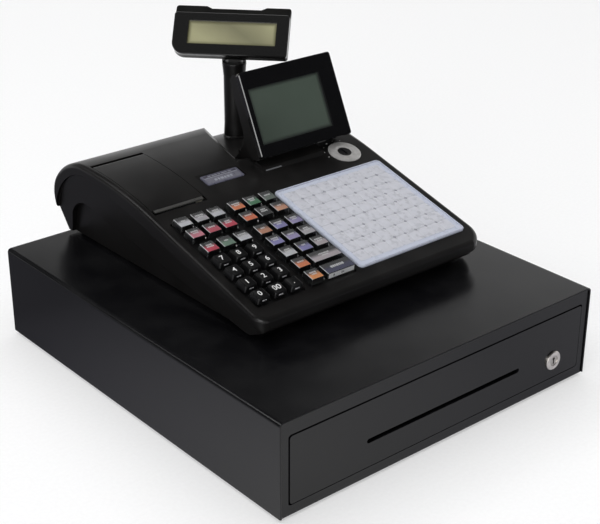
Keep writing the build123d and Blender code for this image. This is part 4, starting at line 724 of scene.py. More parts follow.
@dataclass(frozen=True)
class ClearCap:
    """Clear gloss plastic of the label caps."""

    name: str
    rub: Spread = Spread(300.0, 0.5, 0.8)
    tint: Colour = (0.96, 0.97, 0.98)
    roughness: Span = (0.02, 0.09)
    ripple: float = 800.0
    ripple_depth: float = 0.000002

    def build(self) -> bpy.types.Material:
        """Makes the material.

        Returns:
            The material.
        """
        recipe = Recipe(self.name, Base_Color=self.tint, IOR=1.46, Transmission_Weight=1.0)
        spot = recipe.local()
        recipe.rough(recipe.patches(spot, self.rub), *self.roughness)
        recipe.bump(recipe.noise(spot, self.ripple, 2.0), self.ripple_depth)
        return recipe.material


@dataclass(frozen=True)
class LabelWithPaintedReflection:
    """Printed key label in its colour, with a painted dark reflection over its back that runs out towards the
    front.
    """

    name: str
    colour: Colour
    # colour of the painted dark reflection at the back of the label
    back: Colour = (0.03, 0.03, 0.031)
    run: Span = (0.26, 0.62)
    run_power: float = 1.2
    tooth: float = 2600.0
    tooth_span: Span = (0.3, 0.8)
    tooth_white: float = 0.14
    roughness: Span = (0.45, 0.6)
    rough_span: Span = (0.3, 0.7)

    def build(self) -> bpy.types.Material:
        """Makes the material.

        Returns:
            The material.
        """
        recipe = Recipe(self.name, IOR=1.45)
        # painted reflection: the label darkens towards the back of the key, read from a float attribute on the
        # card
        fade = recipe.node("ShaderNodeAttribute", attribute_name="fade").outputs["Fac"]
        tooth = recipe.noise(recipe.local(), self.tooth, 2.0)
        share = recipe.math("POWER", recipe.between(fade, *self.run), self.run_power)
        ink = recipe.mix(share, self.back, self.colour)
        paper = recipe.between(tooth, *self.tooth_span, 0.0, self.tooth_white)
        recipe.set("Base Color", recipe.mix(paper, ink, WHITE))
        recipe.rough(tooth, *self.roughness, self.rough_span)
        return recipe.material


@dataclass(frozen=True)
class PrintInk:
    """Screen-printed ink of digits and legends."""

    name: str
    colour: Colour
    thin: Spread = Spread(2200.0, 0.25, 0.75)
    dark: float = 0.78
    roughness: Span = (0.5, 0.38)

    def build(self) -> bpy.types.Material:
        """Makes the material.

        Returns:
            The material.
        """
        recipe = Recipe(self.name, IOR=1.45)
        thin = recipe.patches(recipe.local(), self.thin)
        recipe.set("Base Color", recipe.mix(thin, tone(self.colour, self.dark), self.colour))
        recipe.rough(thin, *self.roughness)
        return recipe.material


@dataclass(frozen=True)
class SoftSheet:
    """Pale silicone sheet, in another colour round its border. Lengths are millimetres."""

    name: str
    field_colour: Colour
    border: Colour
    half_width: float
    half_height: float
    blend: float = 1.4
    cloud: Spread = Spread(160.0, 0.3, 0.7)
    dark: float = 0.88
    roughness: Span = (0.24, 0.36)
    ripple: float = 500.0
    ripple_depth: float = 0.00001

    def build(self, place: Matrix) -> bpy.types.Material:
        """Makes the material.

        Args:
            place: Frame at the middle of the sheet.

        Returns:
            The material.
        """
        recipe = Recipe(self.name, IOR=1.43, Coat_Roughness=0.15, Coat_Weight=0.25)
        spot = recipe.local(place)
        inside = recipe.inside(spot, self.half_width, self.half_height, self.blend)
        cloud = recipe.patches(spot, self.cloud)
        field_colour = recipe.mix(cloud, tone(self.field_colour, self.dark), self.field_colour)
        recipe.set("Base Color", recipe.mix(inside, self.border, field_colour))
        recipe.rough(cloud, *self.roughness)
        recipe.bump(recipe.noise(spot, self.ripple), self.ripple_depth)
        return recipe.material


@dataclass(frozen=True)
class RolledPaper:
    """Thermal paper, with the rings of its wraps on the end faces."""

    name: str
    colour: Colour = (0.84, 0.84, 0.81)
    fibre_colour: Colour = (0.5, 0.48, 0.44)
    wraps: float = 9000.0
    wrap_share: float = 0.35
    wrap_height: float = 0.5
    dark: float = 0.72
    fibre: float = 1800.0
    fibre_span: Span = (0.4, 0.8)
    fibre_share: float = 0.12
    roughness: Span = (0.6, 0.8)
    rough_span: Span = (0.2, 0.8)
    depth: float = 0.00002

    def build(self, place: Matrix) -> bpy.types.Material:
        """Makes the material.

        Args:
            place: Frame whose z axis is the roll's axis.

        Returns:
            The material.
        """
        recipe = Recipe(self.name, IOR=1.4)
        spot = recipe.local(place)
        wrap = recipe.math("SINE", recipe.times(recipe.radius(spot), self.wraps))
        fibre = recipe.noise(spot, self.fibre, 4.0)
        shade = recipe.between(wrap, -1.0, 1.0, 0.0, self.wrap_share)
        ringed = recipe.mix(shade, self.colour, tone(self.colour, self.dark))
        fibres = recipe.between(fibre, *self.fibre_span, 0.0, self.fibre_share)
        recipe.set("Base Color", recipe.mix(fibres, ringed, self.fibre_colour))
        recipe.rough(fibre, *self.roughness, self.rough_span)
        recipe.bump(recipe.plus(recipe.times(wrap, self.wrap_height), fibre), self.depth)
        return recipe.material


class KeyColour(Enum):
    """Label colours of the function keys."""

    SILVER = grey(206, 206, 210)
    GREY = grey(186, 182, 186)
    PINK = grey(208, 130, 146)
    RED = grey(204, 58, 86)
    ROSE = grey(200, 84, 104)
    GREEN = grey(66, 128, 88)
    SAGE = grey(112, 142, 122)
    MOSS = grey(96, 108, 98)
    ORANGE = grey(226, 134, 84)
    AMBER = grey(228, 152, 84)
    CORAL = grey(222, 120, 76)
    BEIGE = grey(208, 154, 124)
    TAN = grey(196, 140, 110)
    LILAC = grey(138, 134, 186)
    MAUVE = grey(158, 148, 190)
    PUTTY = grey(186, 176, 180)
    INK = grey(34, 34, 36)
    SLATE = grey(58, 60, 92)


# ------------------------------------------------------------------ shaping
class Shape:
    """A mesh on the bench, shaped with edit-mode operators. Lengths are millimetres."""

    type_weight: float = 0.03
    type_steps: int = 4

    def __init__(self, thing: bpy.types.Object, name: str) -> None:
        """Takes over a primitive that was just added.

        Args:
            thing: The primitive's object.
            name: The piece's name.
        """
        self.thing = thing
        thing.name = name
        thing.data.name = name

    @classmethod
    def block(cls, name: str, size: Sequence[float], centre: Sequence[float] = (0, 0, 0)) -> "Shape":
        """Starts from a box of a size at a centre.

        Args:
            name: The piece's name.
            size: Width, depth and height.
            centre: Where its middle lies.

        Returns:
            The shape.
        """
        bpy.ops.object.select_all(action="DESELECT")
        bpy.ops.mesh.primitive_cube_add(size=1.0, location=[c * MM for c in centre])
        shape = cls(bpy.context.object, name)
        shape.thing.scale = [s * MM for s in size]
        bpy.ops.object.transform_apply(location=True, rotation=True, scale=True)
        return shape

    @classmethod
    def disc(cls, name: str, radius: float, height: float, centre: Sequence[float] = (0, 0, 0),
             sides: int = 48) -> "Shape":
        """Starts from an upright cylinder.

        Args:
            name: The piece's name.
            radius: Its radius.
            height: Its height.
            centre: Where its middle lies.
            sides: Count of its side faces.

        Returns:
            The shape.
        """
        bpy.ops.object.select_all(action="DESELECT")
        bpy.ops.mesh.primitive_cylinder_add(vertices=sides, radius=radius * MM, depth=height * MM,
                                            location=[c * MM for c in centre])
        shape = cls(bpy.context.object, name)
        bpy.ops.object.transform_apply(location=True, rotation=True, scale=True)
        return shape

    @classmethod
    def letters(cls, name: str, text: str, height: float, thickness: float) -> "Shape":
        """Starts from plain digits, laid flat and centred.

        Args:
            name: The piece's name.
            text: The digits.
            height: Size of the type.
            thickness: Thickness of the digits.

        Returns:
            The shape.
        """
        bpy.ops.object.select_all(action="DESELECT")
        bpy.ops.object.text_add()
        line = bpy.context.object
        line.data.body = text
        line.data.size = height * MM
        line.data.extrude = thickness / 2 * MM
        line.data.offset = cls.type_weight * MM
        line.data.align_x = "CENTER"
        line.data.align_y = "CENTER"
        line.data.resolution_u = cls.type_steps
        bpy.ops.object.convert(target="MESH")
        return cls(bpy.context.object, name)

    def take(self) -> None:
        """Makes this the one selected and active piece."""
        bpy.ops.object.select_all(action="DESELECT")
        bpy.context.view_layer.objects.active = self.thing
        self.thing.select_set(True)

    def edit(self, kind: str, test: Callable[..., bool] | None) -> None:
        """Opens edit mode with the wanted elements selected.

        Args:
            kind: "FACE" or "EDGE".
            test: Told a face's centre and normal, or an edge's two ends; None takes all.
        """
        self.take()
        bpy.ops.object.mode_set(mode="EDIT")
        bpy.ops.mesh.select_mode(type=kind)
        bpy.ops.mesh.select_all(action="DESELECT")
        mesh = bmesh.from_edit_mesh(self.thing.data)
        if kind == "FACE":
            for face in mesh.faces:
                face.select_set(test is None or test(face.calc_center_median() / MM, face.normal))
        else:
            for edge in mesh.edges:
                first, last = (v.co / MM for v in edge.verts)
                edge.select_set(test is None or test(first, last))
        bmesh.update_edit_mesh(self.thing.data)

    def close(self) -> "Shape":
        """Leaves edit mode."""
        bpy.ops.object.mode_set(mode="OBJECT")
        return self

    def bevel(self, test: Callable[..., bool], width: float, segments: int = 3) -> "Shape":
        """Rounds the edges that pass a test.

        Args:
            test: Test of an edge's two ends, in millimetres.
            width: Width of the rounding.
            segments: Faces across it.

        Returns:
            This shape.
        """
        self.edit("EDGE", test)
        bpy.ops.mesh.bevel(offset=width * MM, offset_type="OFFSET", segments=segments, affect="EDGES",
                           clamp_overlap=True)
        return self.close()

    def taper(self, test: Callable[..., bool], x: float, y: float) -> "Shape":
        """Scales the faces that pass a test about the z axis.

        Args:
            test: Test of a face's centre and normal.
            x: Share of the width that stays.
            y: Share of the depth that stays.

        Returns:
            This shape.
        """
        self.edit("FACE", test)
        bpy.ops.transform.resize(value=(x, y, 1.0), center_override=(0, 0, 0))
        return self.close()

    def inset(self, test: Callable[..., bool], width: float, depth: float = 0.0) -> "Shape":
        """Draws the chosen faces in by a width, and moves them out by a depth.

        Args:
            test: Test of a face's centre and normal.
            width: Distance in from the faces' border.
            depth: Distance out along the normal.

        Returns:
            This shape.
        """
        self.edit("FACE", test)
        bpy.ops.mesh.inset(thickness=width * MM, depth=depth * MM)
        return self.close()

    def extrude(self, test: Callable[..., bool], step: Sequence[float]) -> "Shape":
        """Extrudes the chosen faces by a step.

        Args:
            test: Test of a face's centre and normal.
            step: The move.

        Returns:
            This shape.
        """
        self.edit("FACE", test)
        bpy.ops.mesh.extrude_region_move(TRANSFORM_OT_translate={"value": [s * MM for s in step]})
        return self.close()

    def modify(self, kind: str, **settings: object) -> "Shape":
        """Adds a modifier and applies it.

        Args:
            kind: Blender's modifier type.
            settings: The modifier's own properties.

        Returns:
            This shape.
        """
        self.take()
        added = self.thing.modifiers.new(kind.lower(), kind)
        for name, value in settings.items():
            setattr(added, name, value)
        bpy.ops.object.modifier_apply(modifier=added.name)
        return self

    def soften(self, width: float, segments: int, angle: float = 40.0) -> "Shape":
        """Rounds every edge that turns by more than an angle."""
        return self.modify("BEVEL", width=width * MM, segments=segments, limit_method="ANGLE",
                           angle_limit=math.radians(angle))

    def cut(self, tool: "Shape", operation: str = "DIFFERENCE") -> "Shape":
        """Takes another shape away from this one, or unites or intersects the two.

        Args:
            tool: The other shape, which is used up.
            operation: DIFFERENCE, UNION or INTERSECT.

        Returns:
            This shape.
        """
        self.modify("BOOLEAN", operation=operation, object=tool.thing, solver="EXACT")
        tool.drop()
        return self

    def join(self, *others: "Shape") -> "Shape":
        """Joins other shapes into this one, as loose parts of one piece.

        Args:
            others: The shapes to take in.

        Returns:
            This shape.
        """
        self.take()
        for shape in others:
            shape.thing.select_set(True)
        bpy.ops.object.join()
        return self

    def smooth(self, angle: float = 35.0) -> "Shape":
        """Shades the shape smooth up to an angle.

        Args:
            angle: Largest turn that is smoothed, in degrees.

        Returns:
            This shape.
        """
        self.take()
        bpy.ops.object.shade_smooth_by_angle(angle=math.radians(angle))
        return self

    def move(self, place: Matrix) -> "Shape":
        """Moves the mesh, and leaves the object at the origin.

        Args:
            place: The placing matrix, in metres.

        Returns:
            This shape.
        """
        self.thing.data.transform(place)
        self.thing.data.update()
        return self

    def copy(self, name: str) -> "Shape":
        """A copy with its own mesh.

        Args:
            name: The copy's name.

        Returns:
            The copy.
        """
        made = self.thing.copy()
        made.data = self.thing.data.copy()
        bpy.context.scene.collection.objects.link(made)
        return Shape(made, name)

    def drop(self) -> None:
        """Takes a pattern piece off the bench."""
        bpy.data.objects.remove(self.thing)

    def dress(self, body: str, slot: str, finish: bpy.types.Material | tuple[bpy.types.Material, ...],
              *stands_for: str) -> bpy.types.Object:
        """Gives the piece its finish and body.

        Args:
            body: The body that it rides on.
            slot: The record's material slot; not used.
            finish: The material, or one for each material index.
            stands_for: CAD nodes that it replaces.

        Returns:
            The finished object.
        """
        finishes = finish if isinstance(finish, tuple) else (finish,)
        while len(self.thing.data.materials) < len(finishes):
            self.thing.data.materials.append(None)
        for index, material in enumerate(finishes):
            self.thing.data.materials[index] = material
        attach(self.thing, body)
        if stands_for:
            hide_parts(*stands_for)
        LOG.info("%s rides on %s", self.thing.name, body)
        return self.thing


def upward(centre: Vector, normal: Vector) -> bool:
    """Test for a face that looks straight up."""
    return normal.z > FACING


def upright(first: Vector, last: Vector) -> bool:
    """Test for an edge that stands upright."""
    rise = abs(first.z - last.z)
    return rise > 2 * NEAR and (first.xy - last.xy).length < STEEP * rise


def front_to_back(first: Vector, last: Vector) -> bool:
    """Test for an edge that runs from front to back."""
    return abs(first.y - last.y) > NEAR


def top_middle(centre: Vector, normal: Vector) -> bool:
    """Test for the face that looks up at the z axis."""
    return normal.z > FACING and abs(centre.x) < 1 and abs(centre.y) < 1


def on_top(level: float) -> Callable[[Vector, Vector], bool]:
    """Test for an edge that lies at a height."""
    return lambda first, last: min(first.z, last.z) > level - NEAR


def dress_nodes(finish: bpy.types.Material, *nodes: str) -> None:
    """Gives CAD nodes a finish.

    Args:
        finish: The material.
        nodes: Names of the nodes.
    """
    for node in nodes:
        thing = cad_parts[node]
        if not thing.material_slots:
            thing.data.materials.append(finish)
        for slot in thing.material_slots:
            slot.material = finish
        LOG.info("%s dressed in %s", node, finish.name)


# ------------------------------------------------------------------ stage
@dataclass(frozen=True)
class SoftBox:
    """A square area light that faces the object. Lengths are metres, powers watts."""

    name: str
    place: Triple
    size: float
    power: float
    glossy: bool = True
    aim: Triple = (0.0, 0.0, 0.15)

    def build(self) -> None:
        """Hangs the light."""
        data = bpy.data.lights.new(self.name, "AREA")
        data.shape = "SQUARE"
        data.size = self.size
        data.energy = self.power
        light = bpy.data.objects.new(self.name, data)
        bpy.context.scene.collection.objects.link(light)
        light.visible_glossy = self.glossy
        light.location = self.place
        light.rotation_mode = "QUATERNION"
        light.rotation_quaternion = (Vector(self.place) - Vector(self.aim)).to_track_quat("Z", "Y")


@dataclass
class Studio:
    """Pale sweep, soft lights and the camera. Lengths are metres; spans run from one value to another."""

    camera_left: float = 0.8141
    camera_back: float = 0.7507
    camera_height: float = 0.7056
    camera_heading: float = 40.249
    camera_drop: float = 25.254
    camera_roll: float = 0.24
    focal_pixels: float = 1378.0
    frame_pixels: float = 600.0
    sensor: float = 36.0
    floor_size: float = 14.0
    floor_thickness: float = 0.02
    floor_glow: float = 0.38
    card_fibre: Spread = Spread(260.0, 0.3, 0.7)
    card_dark: Colour = (0.58, 0.58, 0.585)
    card_pale: Colour = (0.61, 0.61, 0.615)
    mirrored_tint: Colour = (0.62, 0.6, 1.0)
    gloss_depth: Span = (-0.25, 0.25)
    gloss_width: Span = (-0.12, 0.18)
    gloss_least: float = 0.15
    gloss_right: float = 0.62
    far_floor: Span = (0.6, 1.6)
    right_floor: tuple[Span, Span] = ((0.2, 0.24), (-0.22, -0.12))
    rear_floor: tuple[Span, Span] = ((-0.15, 0.05), (0.22, 0.3))
    behind_way: Span = (0.5, 0.86)
    behind_span: Span = (-0.25, 0.35)
    paper_light: float = 0.95
    paper_span: Span = (0.32, 0.41)
    paper_lift: float = 0.34
    paper_lift_x: float = 0.4
    card_way: Span = (-0.75, -0.66)
    card_span: Span = (0.35, 0.8)
    card_height: Span = (0.24, 0.42)
    front_light: float = 0.75
    room_span: Span = (0.35, 0.8)
    room_light: float = 0.07
    dark_light: float = 0.03
    soft_boxes: tuple[SoftBox, ...] = (SoftBox("ceiling_box", (0.0, 0.0, 5.0), 10.0, 400.0, glossy=False),
                                       SoftBox("left_box", (-2.4, -1.5, 1.1), 1.5, 34.0),
                                       SoftBox("left_back_box", (-2.0, 2.1, 2.7), 1.2, 16.0))

    def build(self) -> None:
        """Sets up the stage."""
        self.camera()
        self.floor()
        self.surroundings()
        for soft_box in self.soft_boxes:
            soft_box.build()
        bpy.context.scene.view_settings.view_transform = "Standard"

    def camera(self) -> None:
        """Camera at its height, heading and drop."""
        data = bpy.data.cameras.new("camera")
        data.sensor_width = self.sensor
        data.lens = self.focal_pixels / self.frame_pixels * self.sensor
        data.clip_end = 40.0
        camera = bpy.data.objects.new("camera", data)
        bpy.context.scene.collection.objects.link(camera)
        heading, drop = math.radians(self.camera_heading), math.radians(self.camera_drop)
        level = math.cos(drop)
        forward = Vector((level * math.sin(heading), level * math.cos(heading), -math.sin(drop)))
        right = forward.cross(Vector((0, 0, 1))).normalized()
        up = right.cross(forward)
        turn = Matrix.Rotation(math.radians(-self.camera_roll), 3, forward)
        place = Matrix((turn @ right, turn @ up, -forward)).transposed().to_4x4()
        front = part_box("cabinet_cover")[0].y
        place.translation = Vector((-self.camera_left, front - self.camera_back, self.camera_height))
        camera.matrix_world = place
        bpy.context.scene.camera = camera

    def floor(self) -> None:
        """Pale floor, far wider than the object."""
        size, thickness = self.floor_size / MM, self.floor_thickness / MM
        sweep = Shape.block("floor", (size, size, thickness), (0, 0, -thickness / 2))
        sheen = Recipe("floor_card", Roughness=0.7, Specular_IOR_Level=0.1)
        spot = sheen.local()
        card = sheen.mix(sheen.patches(spot, self.card_fibre), self.card_dark, self.card_pale)
        seen = self.mirrored_share(sheen, spot)
        sheen.set("Base Color", sheen.mix(seen, BLACK, card))
        sheen.set("Emission Strength", sheen.times(seen, self.floor_glow))
        sheen.set("Emission Color", sheen.mix(seen, self.mirrored_tint, WHITE))
        sweep.thing.data.materials.append(sheen.material)

    def mirrored_share(self, sheen: Recipe, spot: Socket) -> Socket:
        """How bright the floor looks: whole to the eye, weaker in reflections beside the drawer.

        Args:
            sheen: The floor's material.
            spot: Place on the floor, in metres.

        Returns:
            The share of its light, 0 to 1.
        """
        x, y, _ = sheen.axes(spot)
        near = sheen.times(sheen.between(y, *self.gloss_depth, 1.0, self.gloss_least),
                           sheen.between(x, *self.gloss_width, 1.0, self.gloss_right))
        right, rear = (sheen.times(sheen.between(x, *across), sheen.between(y, *along))
                       for across, along in (self.right_floor, self.rear_floor))
        near_floor = sheen.math("MAXIMUM", right, rear)
        open_floor = sheen.math("MAXIMUM", sheen.between(y, *self.far_floor), near_floor)
        glossy = sheen.node("ShaderNodeLightPath").outputs["Is Glossy Ray"]
        lost = sheen.minus(1.0, sheen.math("MAXIMUM", near, open_floor))
        return sheen.minus(1.0, sheen.times(glossy, lost))

    def surroundings(self) -> None:
        """White paper behind, up to a low height, a card at the front left, and a dim room elsewhere."""
        world = bpy.data.worlds.new("studio")
        world.use_nodes = True
        graph = Graph(world.node_tree)
        x, y, z = graph.axes(graph.node("ShaderNodeTexCoord").outputs["Generated"])
        behind = graph.between(graph.toward(x, y, self.behind_way), *self.behind_span)
        height = graph.minus(z, graph.times(graph.minus(x, self.paper_lift_x), self.paper_lift))
        paper = graph.between(height, *self.paper_span, self.paper_light, self.room_light)
        card = graph.times(graph.between(graph.toward(x, y, self.card_way), *self.card_span),
                           graph.between(z, *self.card_height, self.front_light, 0.0))
        room = graph.plus(card, graph.between(z, *self.room_span, self.dark_light, self.room_light))
        level = graph.plus(graph.times(behind, paper), graph.times(graph.minus(1.0, behind), room))
        background = world.node_tree.nodes["Background"].inputs
        graph.feed(background["Strength"], level)
        graph.feed(background["Color"], WHITE)
        bpy.context.scene.world = world


# ------------------------------------------------------------------ keyboard
@dataclass(frozen=True)
class FunctionKey:
    """One labelled key: its row and column from the front left of its block."""

    row: int
    column: float
    colour: KeyColour
    units: int = 1
    left_block: bool = False

@dataclass
class Keyboard:
    """Digit keys, clear-capped function keys and their print. Lengths are millimetres."""

    pitch: float = 19.7
    cap: float = 15.8
    cap_height: float = 6.2
    lift: float = 0.9
    right_block_gap: float = 64.4
    first_row: float = 27.0
    upper_gap: float = 4.1
    upper_row: int = 5
    digit_top: float = 12.9
    digit_height: float = 8.6
    digit_share: dict[str, float] = field(default_factory=lambda: {"00": 1.08})
    digit_thickness: float = 0.25
    digit_rise: float = 0.06
    digit_shift: float = 0.4
    digit_edge: float = 0.55
    scoop_radius: float = 26.0
    scoop_depth: float = 0.55
    mark_size: Span = (0.12, 1.0)
    clear_top: float = 14.2
    clear_height: float = 6.6
    clear_skin: float = 0.5
    clear_corner: float = 0.8
    clear_edge: float = 0.55
    card_thickness: float = 0.12
    card_gap: float = 0.05
    card_cuts: int = 6
    glyph: Span = (0.95, 2.0)
    wide_glyphs: tuple[Span, Span] = ((1.5, 3.0), (1.0, 1.8))
    glyph_gap: float = 0.35
    glyph_thickness: float = 0.1
    glyph_corner: float = 0.22
    corner: float = 1.4
    digit_rows: tuple[tuple[str, str, str], ...] = (("0", "00", "point"), ("1", "2", "3"), ("4", "5", "6"),
                                                    ("7", "8", "9"))
    legends: tuple[tuple[Span, ...], ...] = (((2.2, 5), (-0.5, 4)), ((0.8, 5),), ((2.2, 4), (-0.5, 5)),
                                             ((0.8, 3),), ((2.1, 6), (-0.6, 4)))
    wide_legends: tuple[tuple[Span, ...], ...] = (((0.6, 7),), ((1.6, 8), (-1.0, 5)))
    front_marks: tuple[Triple, ...] = ((-9.5, 1.4, 2.2), (0.6, 1.0, 2.6), (2.6, 1.2, 1.4))
    labels: dict[KeyColour, bpy.types.Material] = field(default_factory=dict)

    def left_x(self) -> float:
        """Middle of the left column, read from the frame."""
        return (middle_of("key_0").x - LAYOUT.corner().x) / MM

    def row_s(self, row: int) -> float:
        """Distance up the deck of a row, counted from the front."""
        return self.first_row + row * self.pitch + (self.upper_gap if row >= self.upper_row else 0.0)

    def build(self) -> None:
        """Makes every key."""
        self.ink = PrintInk("white_ink", grey(225, 225, 225)).build()
        self.digit_keys()
        self.function_keys()

    def digit_cap(self) -> Shape:
        """Pattern of a digit key: tapered, with a scooped top and soft edges.

        Returns:
            The pattern.
        """
        cap = Shape.block("digit_cap", (self.cap, self.cap, self.cap_height), (0, 0, self.cap_height / 2))
        cap.taper(upward, self.digit_top / self.cap, self.digit_top / self.cap)
        cap.bevel(upright, self.corner, 4)
        roller = Shape.disc("roller", self.scoop_radius, 3 * self.cap, sides=160)
        roller.move(shifted(0, 0, self.cap_height + self.scoop_radius - self.scoop_depth) @ turned(90, "X"))
        return cap.cut(roller).soften(self.digit_edge, 3).smooth(50.0)

    def digit_keys(self) -> None:
        """Black keys with white digits and a small grey mark on the front."""
        pattern = self.digit_cap()
        pale = PrintInk("grey_ink", grey(190, 190, 194)).build()
        finish = Moulded("key_black", grey(14, 14, 15), roughness=0.3, grain_depth=0.000012, wear=0.25,
                         dust=0.03).build()
        rise = self.cap_height - self.scoop_depth + self.digit_rise
        for row, names in enumerate(self.digit_rows):
            for column, name in enumerate(names):
                place = LAYOUT.deck(self.left_x() + column * self.pitch, self.row_s(row), self.lift)
                body = f"key_{name}_cap"
                cap = pattern.copy(f"digit_key_{name}").move(place)
                cap.dress(body, "key_black", finish, f"key_{name}")
                size = self.digit_height * self.digit_share.get(name, 1.0)
                text = "." if name == "point" else name
                digit = Shape.letters(f"digit_{name}", text, size, self.digit_thickness)
                for vertex in digit.thing.data.vertices:
                    vertex.co.z += vertex.co.x ** 2 / (2 * self.scoop_radius * MM)
                digit.move(place @ shifted(0, self.digit_shift, rise)).dress(body, "key_black", self.ink)
                self.front_mark(name, row, column).move(place).dress(body, "key_black", pale)
        pattern.drop()

    def front_mark(self, name: str, row: int, column: int) -> Shape:
        """Two short dashes on a digit key's sloping front.

        Args:
            name: The key's name.
            row: The key's row, which sets the second dash's length.
            column: The key's column, which sets the first dash's length.

        Returns:
            The mark, in the key's own frame.
        """
        lean = math.atan2((self.cap - self.digit_top) / 2, self.cap_height)
        first = Shape.block(f"mark_{name}", (2.4 + 0.5 * column, *self.mark_size), (-1.2, 0, 0))
        mark = first.join(Shape.block("dash", (1.2 + 0.3 * row, *self.mark_size), (1.6, 0, 0)))
        middle = -(self.cap + self.digit_top) / 4 - 0.02
        return mark.move(shifted(0, middle, self.cap_height / 2) @ Matrix.Rotation(-lean, 4, "X"))

    def layout(self) -> list[FunctionKey]:
        """Every function key with its colour, front row first.

        Returns:
            The keys.
        """
        kind = KeyColour
        right = [(0, (kind.AMBER,)), (1, (kind.ORANGE,)), (2, (kind.SILVER, kind.LILAC, kind.PUTTY)),
                 (3, (kind.LILAC, kind.MAUVE, kind.GREY)), (4, (kind.TAN, kind.LILAC, kind.MAUVE)),
                 (5, (kind.CORAL, kind.INK, kind.BEIGE)), (6, (kind.ORANGE, kind.GREEN, kind.MOSS))]
        left = [(4, (kind.RED, kind.SAGE, kind.SILVER)), (5, (kind.PINK, kind.ROSE, kind.RED)),
                (6, (kind.SILVER, kind.GREY, kind.SILVER))]
        keys = [FunctionKey(row, column, colour, left_block=block is left) for block in (right, left)
                for row, colours in block for column, colour in enumerate(colours)]
        return keys + [FunctionKey(0, 1.5, kind.SLATE, units=2), FunctionKey(1, 1.5, kind.PUTTY, units=2)]

    def clear_cap(self, units: int) -> Shape:
        """Pattern of a clear cap; its second material paints a pale highlight on the upper left edges.

        Args:
            units: Width of the key, in key pitches.

        Returns:
            The pattern.
        """
        extra = (units - 1) * self.pitch
        width, height = self.cap + extra, self.clear_height
        cap = Shape.block("clear_cap", (width, self.cap, height), (0, 0, height / 2))
        cap.taper(upward, (self.clear_top + extra) / width, self.clear_top / self.cap)
        cap.bevel(upright, self.clear_corner, 3)
        cap.bevel(on_top(height), self.clear_edge, 3)
        mesh = cap.thing.data
        # faces on the upper left rounding carry a painted highlight in pale ink
        highlight_faces = [int(face.normal.z > 0.25 and face.normal.x < -0.3) for face in mesh.polygons]
        for _ in range(2):
            mesh.materials.append(None)
        mesh.polygons.foreach_set("material_index", highlight_faces)
        return cap.smooth(40.0)

    def label_block(self, units: int) -> Shape:
        """Pattern of the dark block inside a clear cap; its top carries the label.

        Args:
            units: Width of the key, in key pitches.

        Returns:
            The pattern.
        """
        depth = self.cap - 2 * self.clear_skin
        width = depth + (units - 1) * self.pitch
        height = self.clear_height - self.clear_skin
        block = Shape.block("label_block", (width, depth, height), (0, 0, height / 2))
        slope = (self.cap - self.clear_top) / self.cap
        block.taper(upward, 1 - slope * self.cap / width, 1 - slope)
        return block.bevel(upright, 0.5, 2)

    def label_card(self, units: int) -> Shape:
        """Pattern of the printed card on the block; a float attribute on it runs from back to front and places
        the painted dark reflection on the label.

        Args:
            units: Width of the key, in key pitches.

        Returns:
            The pattern.
        """
        depth = self.clear_top - 2 * (self.clear_skin + self.card_gap)
        height = self.clear_height - self.clear_skin + self.card_thickness / 2
        card = Shape.block("label_card", (depth + (units - 1) * self.pitch, depth, self.card_thickness),
                           (0, 0, height))
        card.edit("FACE", None)
        bpy.ops.mesh.subdivide(number_cuts=self.card_cuts)
        card.close()
        fade = card.thing.data.attributes.new("fade", "FLOAT", "POINT")
        levels = [0.5 - vertex.co.y / MM / depth for vertex in card.thing.data.vertices]
        fade.data.foreach_set("value", levels)
        return card

    def legend(self, name: str, key: FunctionKey, index: int) -> Shape:
        """Rows of small rounded blocks where a legend would be.

        Args:
            name: The key's name.
            key: The key.
            index: Its number, which chooses among the arrangements.

        Returns:
            The blocks, joined.
        """
        height = self.clear_height - self.clear_skin + 0.15
        rows, (wide, tall) = self.legends[index % len(self.legends)], self.glyph
        if key.units == 2:
            rows, (wide, tall) = self.wide_legends[key.row], self.wide_glyphs[key.row]
        parts = []
        for y, count in rows:
            widths = [wide + 0.3 * wide * ((index + 2 * n) % 3) for n in range(count)]
            x = -(sum(widths) + self.glyph_gap * (count - 1)) / 2
            for width in widths:
                size = (width, tall, self.glyph_thickness)
                parts.append(Shape.block("glyph", size, (x + width / 2, y, height)))
                x += width + self.glyph_gap
        marks = parts[0].join(*parts[1:])
        marks.thing.name = f"legend_{name}"
        return marks.bevel(lambda first, last: abs(first.z - last.z) > NEAR, self.glyph_corner, 1)

    def function_keys(self) -> None:
        """Coloured labels under clear caps."""
        clear = ClearCap("clear_cap").build()
        # pale ink painted on the caps' upper left edges as a highlight
        edge = PrintInk("cap_painted_highlight", grey(190, 192, 194)).build()
        core = Moulded("key_core", grey(20, 21, 22), roughness=0.4, wear=0.0, dust=0.0).build()
        patterns = {units: (self.clear_cap(units), self.label_block(units), self.label_card(units))
                    for units in (1, 2)}
        for index, key in enumerate(self.layout()):
            x = self.left_x() + (0 if key.left_block else self.right_block_gap) + key.column * self.pitch
            place = LAYOUT.deck(x, self.row_s(key.row), self.lift)
            node = f"function_keys_{key.row + 1}"
            body = f"{node}_caps"
            name = f"row_{key.row + 1}_{'left' if key.left_block else 'right'}_{int(key.column) + 1}"
            cap, block, card = patterns[key.units]
            if key.colour not in self.labels:
                label = LabelWithPaintedReflection(f"label_{key.colour.name.lower()}", key.colour.value)
                self.labels[key.colour] = label.build()
            cap.copy(f"clear_cap_{name}").move(place).dress(body, "key_clear", (clear, edge), node)
            block.copy(f"label_block_{name}").move(place).dress(body, "key_clear", core)
            card.copy(f"label_{name}").move(place).dress(body, "key_clear", self.labels[key.colour])
            self.legend(name, key, index).move(place).dress(body, "key_clear", self.ink)
            if key.units == 2 and key.row == 0:
                self.front_strip(name, place, body)
        for pattern in patterns.values():
            for shape in pattern:
                shape.drop()

